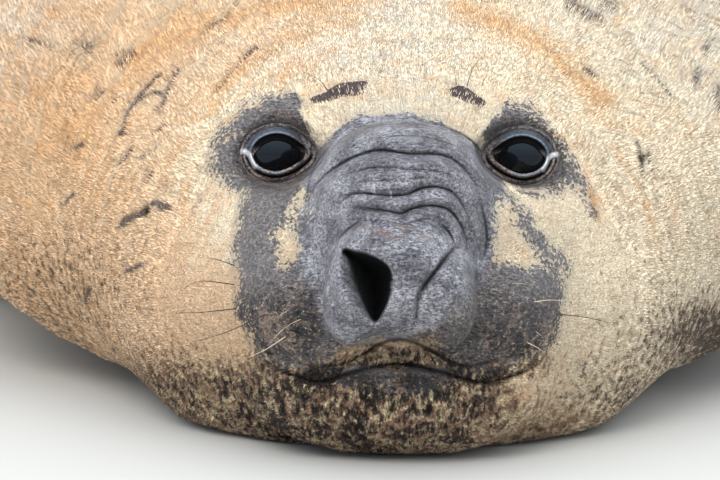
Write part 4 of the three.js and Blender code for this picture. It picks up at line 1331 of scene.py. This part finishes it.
def make_lids(material):
    """The lids: a thick dark-lined upper one and a thin pale lower one, which meet the skin."""
    outline = rounded(LID_OUTLINE, pieces=14)
    ahead = np.roll(outline, -2, 0) - np.roll(outline, 2, 0)
    away = unit(np.stack([ahead[:, 1], -ahead[:, 0]], -1))
    away *= np.sign(np.sum(away * outline))
    rise = step(-6, 8, outline[:, 1])[:, None]
    edge = np.where(LID_STEPS < 0, LID_STEPS * (0.1 + 0.9 * rise), LID_STEPS + 0 * rise)
    places = (outline[:, None] + away[:, None] * edge[..., None]).reshape(-1, 2)
    edge = edge.ravel()
    inward, over = places[:, 0], places[:, 1]
    upper = step(-6, 8, over)
    seen = step(0.1, 0.9, edge) * (1 - 0.85 * step(14, 30, inward))
    lower = 1 - upper
    # Partly painted shade: under the upper lid's edge a black band stands for the lash line and the lid's
    # shadow on the eyeball, and the grooves above and below the lids are painted dark
    lash_and_shade_above = upper * np.maximum(step(2.0, 1.0, edge), 0.75 * ridge(edge, 9.4, 1.0))
    crease_shade_below = lower * np.maximum(ridge(edge, 5.6, 1.9, 4), 0.9 * ridge(edge, 11, 1.0))
    # Painted highlight: a pale line along the upper lid's roll, where light from above catches it
    sheen_above = 0.8 * upper * ridge(edge, 3.0, 0.8)
    pale_below = lower * step(3.4, 2.7, edge) * (1 - 0.9 * step(4, 16, inward))
    # The white streak at the outer corner is a painted highlight
    streak, _ = line_distance(inward, over, TEAR_STREAK)
    marks = {
        "dark": np.maximum(lash_and_shade_above, crease_shade_below),
        "pale": seen * np.maximum(sheen_above, pale_below),
        "low": lower,
        "lid": seen * upper * step(9.5, 7, edge),
        "glint": np.exp(-(streak / 2.4) ** 4) * step(0, 1.0, edge),
    }
    lid = ball_back(inward, over) - LID_GAP - lid_height(edge, upper, inward)
    hold = 1 - step(LID_HOLDS, LID_LETS_GO, edge)
    sunk = LID_RIM_SINKS * step(LID_REACH - LID_RIM_WIDE, LID_REACH, edge)
    for word, side in SIDES:
        aside = side * (EYE_AT[0] - inward)
        skin = plain_back(aside, EYE_AT[1] + over)
        points = from_face(aside, EYE_AT[1] + over, skin + (lid - skin) * hold + sunk)
        rings = points.reshape(len(outline), len(LID_STEPS), 3)
        quads = tube_faces(len(LID_STEPS), len(outline))
        flat = rings.transpose(1, 0, 2).reshape(-1, 3)
        own = {key: values.reshape(rings.shape[:2]).T.ravel() for key, values in marks.items()}
        a, b, c = (flat[quads[:, k]] for k in range(3))
        if np.sum(np.cross(b - a, c - a) @ INTO_FACE) > 0:
            quads = quads[:, ::-1]
        piece = make_mesh("lids_" + word, flat, [quads], own)
        piece.data.materials.append(material)
        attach(piece, "root")


def tube_along(course, radii, sides=6):
    """Rings of points round a course."""
    ahead = unit(np.gradient(course, axis=0))
    aside = unit(np.cross(ahead, -INTO_FACE + 0.01))
    over = np.cross(ahead, aside)
    turn = (np.arange(sides) / sides * TAU)[None, :, None]
    around = aside[:, None] * np.cos(turn) + over[:, None] * np.sin(turn)
    return course[:, None] + around * radii[:, None, None]


# Short whiskers between the long ones: rows on the pads, and how long they are
WHISKER_ROWS, WHISKERS_IN_ROW = 4, 3
SHORT_WHISKER = (8.0, 20.0)
PALE_SHARE = 0.4

# How fast a whisker leaves the skin and bends back to it, and the part of the skin that whiskers stand on
WHISKER_RISE, WHISKER_BEND, WHISKER_SKIN_DEPTH = 0.45, 0.004, 420.0


def short_whiskers():
    """Lines of the short whiskers on the pads, as seen from in front."""
    lines = []
    for _, side in SIDES:
        for row in range(WHISKER_ROWS):
            for place in range(WHISKERS_IN_ROW):
                root = np.array([side * (92 + 17 * place + 6 * (row % 2)), -2 - 16 * row + 3 * place])
                root = root + rng.normal(0, 3, 2)
                long = SHORT_WHISKER[0] + (SHORT_WHISKER[1] - SHORT_WHISKER[0]) * rng.random()
                ahead = np.array([side, -0.25 - 0.12 * row + rng.normal(0, 0.15)])
                middle = root + ahead * long * 0.5
                tip = root + ahead * long - (0, 0.12 * long)
                lines.append((0.4, rng.random() < PALE_SHARE, (root, middle, tip)))
    return lines


def make_whiskers(points, looks):
    """Thin bent hairs that leave the skin at their root and stay just in front of it."""
    right, high = seen_places(points)
    _, _, back = face_places(points)
    shown = np.nonzero(back < WHISKER_SKIN_DEPTH)[0]
    tubes = {False: [], True: []}
    for thick, pale, line in list(WHISKERS) + short_whiskers():
        course = rounded(line, closed=False, pieces=6)
        run = np.linalg.norm(course - course[0], axis=1)
        gap = np.hypot(right[shown] - course[:, :1], high[shown] - course[:, 1:])
        behind = back[shown][gap.argmin(1)]
        free = behind[0] + 2 - WHISKER_RISE * run + WHISKER_BEND * run ** 2
        depth = np.minimum(free, behind - 1.5 * np.minimum(run / 6, 1) + 1)
        reach = 1 + depth / VIEW_DISTANCE
        aside = VIEW_ASIDE + (course[:, 0] - VIEW_ASIDE) * reach
        up = VIEW_UP + (course[:, 1] - VIEW_UP) * reach
        course = from_face(aside, up, depth)
        tubes[pale].append(tube_along(course, thick * (1 - 0.8 * run / run[-1])))
    for pale, rings in tubes.items():
        flats = [ring.reshape(-1, 3) for ring in rings]
        firsts = np.cumsum([0] + [len(flat) for flat in flats])
        faces = [facing_out(flat, tube_faces(len(ring), ring.shape[1])) + first
                 for flat, ring, first in zip(flats, rings, firsts)]
        piece = make_mesh("whiskers_pale" if pale else "whiskers_dark", np.concatenate(flats), faces)
        piece.data.materials.append(looks[pale])
        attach(piece, "root")


# How much further back the outer claws sit, how far apart they are, and the lowest a claw may be
CLAW_CURVE, CLAW_SPREAD, CLAW_LEAST_HEIGHT = 0.06, 0.9, 0.5


def make_claws(material):
    along, across = unit(FORE_FLIPPER["along"]), unit(FORE_FLIPPER["across"])
    level = unit([along[0], along[1], 0])
    rings = ball_rings((0, 0, 0), (1, 1, 1), 24, 20)
    flat = rings.reshape(-1, 3)
    run = (1 + flat[:, 1]) / 2
    horn = np.outer(run * CLAW_LENGTH, level) + np.outer(flat[:, 0] * CLAW_RADIUS, across)
    horn[:, 2] += flat[:, 2] * CLAW_RADIUS + CLAW_RISE * (1 - run * run)
    for word, side in SIDES:
        for toe in range(TOES):
            lateral = (toe - (TOES - 1) / 2) / (TOES / 2)
            root = (np.array(FORE_FLIPPER["root"], float)
                    + along * FORE_FLIPPER["length"] * (CLAW_FROM - CLAW_CURVE * lateral ** 2)
                    + across * lateral * FORE_FLIPPER["widths"][-2] * CLAW_SPREAD)
            place = root + horn
            place[:, 2] = np.maximum(place[:, 2], CLAW_LEAST_HEIGHT)
            place[:, 0] *= side
            name = "%s_%d" % (word, toe + 1)
            quads = facing_out(place, tube_faces(*rings.shape[:2]))
            piece = make_mesh("horn_" + name, place, [quads])
            piece.data.materials.append(material)
            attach(piece, "root")
            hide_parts("claw_" + name)


# The stage
FLOOR_SIDE = 400.0
LENS = 192.0
CAMERA_ROLL = math.radians(0.6)
SKY_LOW, SKY_HIGH, GROUND_GLOW = 1.04, 2.1, 0.4
FLOOR_LEVEL = -0.001
HORIZON_BLEND = 0.12
SKY_COLOUR = (0.87, 0.94, 1.0, 1)
SOFTBOX = dict(at=(-1.8, -5.6, 5.2), size=4.0, power=340, colour=(1.0, 0.96, 0.9))
SOFTBOX_TARGET_BACK, SOFTBOX_TARGET_HEIGHT = 250.0, 0.25


def make_stage():
    half = FLOOR_SIDE / 2
    corners = [(x * half, y * half, FLOOR_LEVEL) for x, y in ((-1, -1), (1, -1), (1, 1), (-1, 1))]
    mesh = bpy.data.meshes.new("floor")
    mesh.from_pydata(corners, [], [(0, 1, 2, 3)])
    mesh.materials.append(plain_look("floor", "floor", "floor", 0.9, 3))
    floor = add_object("floor", mesh)
    target = Vector((0, float(SHIFT[1] + SOFTBOX_TARGET_BACK) * METRES, SOFTBOX_TARGET_HEIGHT))
    lamp = bpy.data.lights.new("softbox", "AREA")
    lamp.shape = "DISK"
    lamp.size = SOFTBOX["size"]
    lamp.energy = SOFTBOX["power"]
    lamp.color = SOFTBOX["colour"]
    holder = add_object("softbox", lamp)
    place = Vector((SOFTBOX["at"][0], SOFTBOX["at"][1] + SHIFT[1] * METRES, SOFTBOX["at"][2]))
    turn = (place - target).to_track_quat("Z", "Y").to_matrix().to_4x4()
    holder.matrix_world = Matrix.Translation(place) @ turn
    holder.visible_glossy = False
    make_sky()
    bpy.context.scene.view_settings.view_transform = "Standard"


def make_sky():
    """An overcast studio sky, brightest overhead."""
    world = bpy.data.worlds.new("studio")
    world.use_nodes = True
    tree = world.node_tree
    background = tree.nodes["Background"]
    background.inputs["Color"].default_value = SKY_COLOUR
    parts = tree.nodes.new("ShaderNodeSeparateXYZ")
    tree.links.new(tree.nodes.new("ShaderNodeTexCoord").outputs["Generated"], parts.inputs[0])
    level = tree.nodes.new("ShaderNodeMath")
    level.operation = "MULTIPLY"
    above, below = (0.0, 1.0, SKY_LOW, SKY_HIGH), (-HORIZON_BLEND, 0.0, GROUND_GLOW, 1.0)
    for number, limits in enumerate((above, below)):
        part = tree.nodes.new("ShaderNodeMapRange")
        for word, value in zip(("From Min", "From Max", "To Min", "To Max"), limits):
            part.inputs[word].default_value = value
        tree.links.new(parts.outputs[2], part.inputs["Value"])
        tree.links.new(part.outputs[0], level.inputs[number])
    tree.links.new(level.outputs[0], background.inputs["Strength"])
    bpy.context.scene.world = world


def make_camera():
    """In front of the face and a little above it, as the photograph was taken."""
    place = from_face([VIEW_ASIDE], [VIEW_UP], [-VIEW_DISTANCE])[0] + SHIFT
    backward, upward = Vector(-INTO_FACE), Vector(UP_FACE)
    turn = Matrix((upward.cross(backward), upward, backward)).transposed().to_4x4()
    camera = add_object("camera", bpy.data.cameras.new("camera"))
    camera.data.lens = LENS
    camera.data.clip_end = FLOOR_SIDE + 100
    roll = Matrix.Rotation(CAMERA_ROLL, 4, "Z")
    camera.matrix_world = Matrix.Translation(Vector(place * METRES)) @ turn @ roll
    bpy.context.scene.camera = camera


def main():
    make_camera()
    islands = make_islands()
    skin = make_skin(islands)
    skin.data.materials.append(skin_look())
    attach(skin, "root")
    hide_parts("head", "proboscis", "lower_jaw", "neck", "chest", "belly", "hips", "tail",
                "fore_flipper_left", "fore_flipper_right", "hind_flipper_left", "hind_flipper_right")
    coat_material = coat_look()
    for coat in COATS:
        for name in coat["names"]:
            piece = make_coat(name, coat, islands)
            piece.data.materials.append(coat_material)
            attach(piece, "root")
    make_eyes(eye_look())
    make_lids(lid_look())
    looks = {False: plain_look("dark_whisker", "horn", "umber", 0.5, 300),
             True: plain_look("pale_whisker", "straw", "fleck", 0.5, 300)}
    make_whiskers(islands[0]["rings"].reshape(-1, 3), looks)
    make_claws(plain_look("claw", "horn", "black", 0.4, 200))
    make_stage()


main()
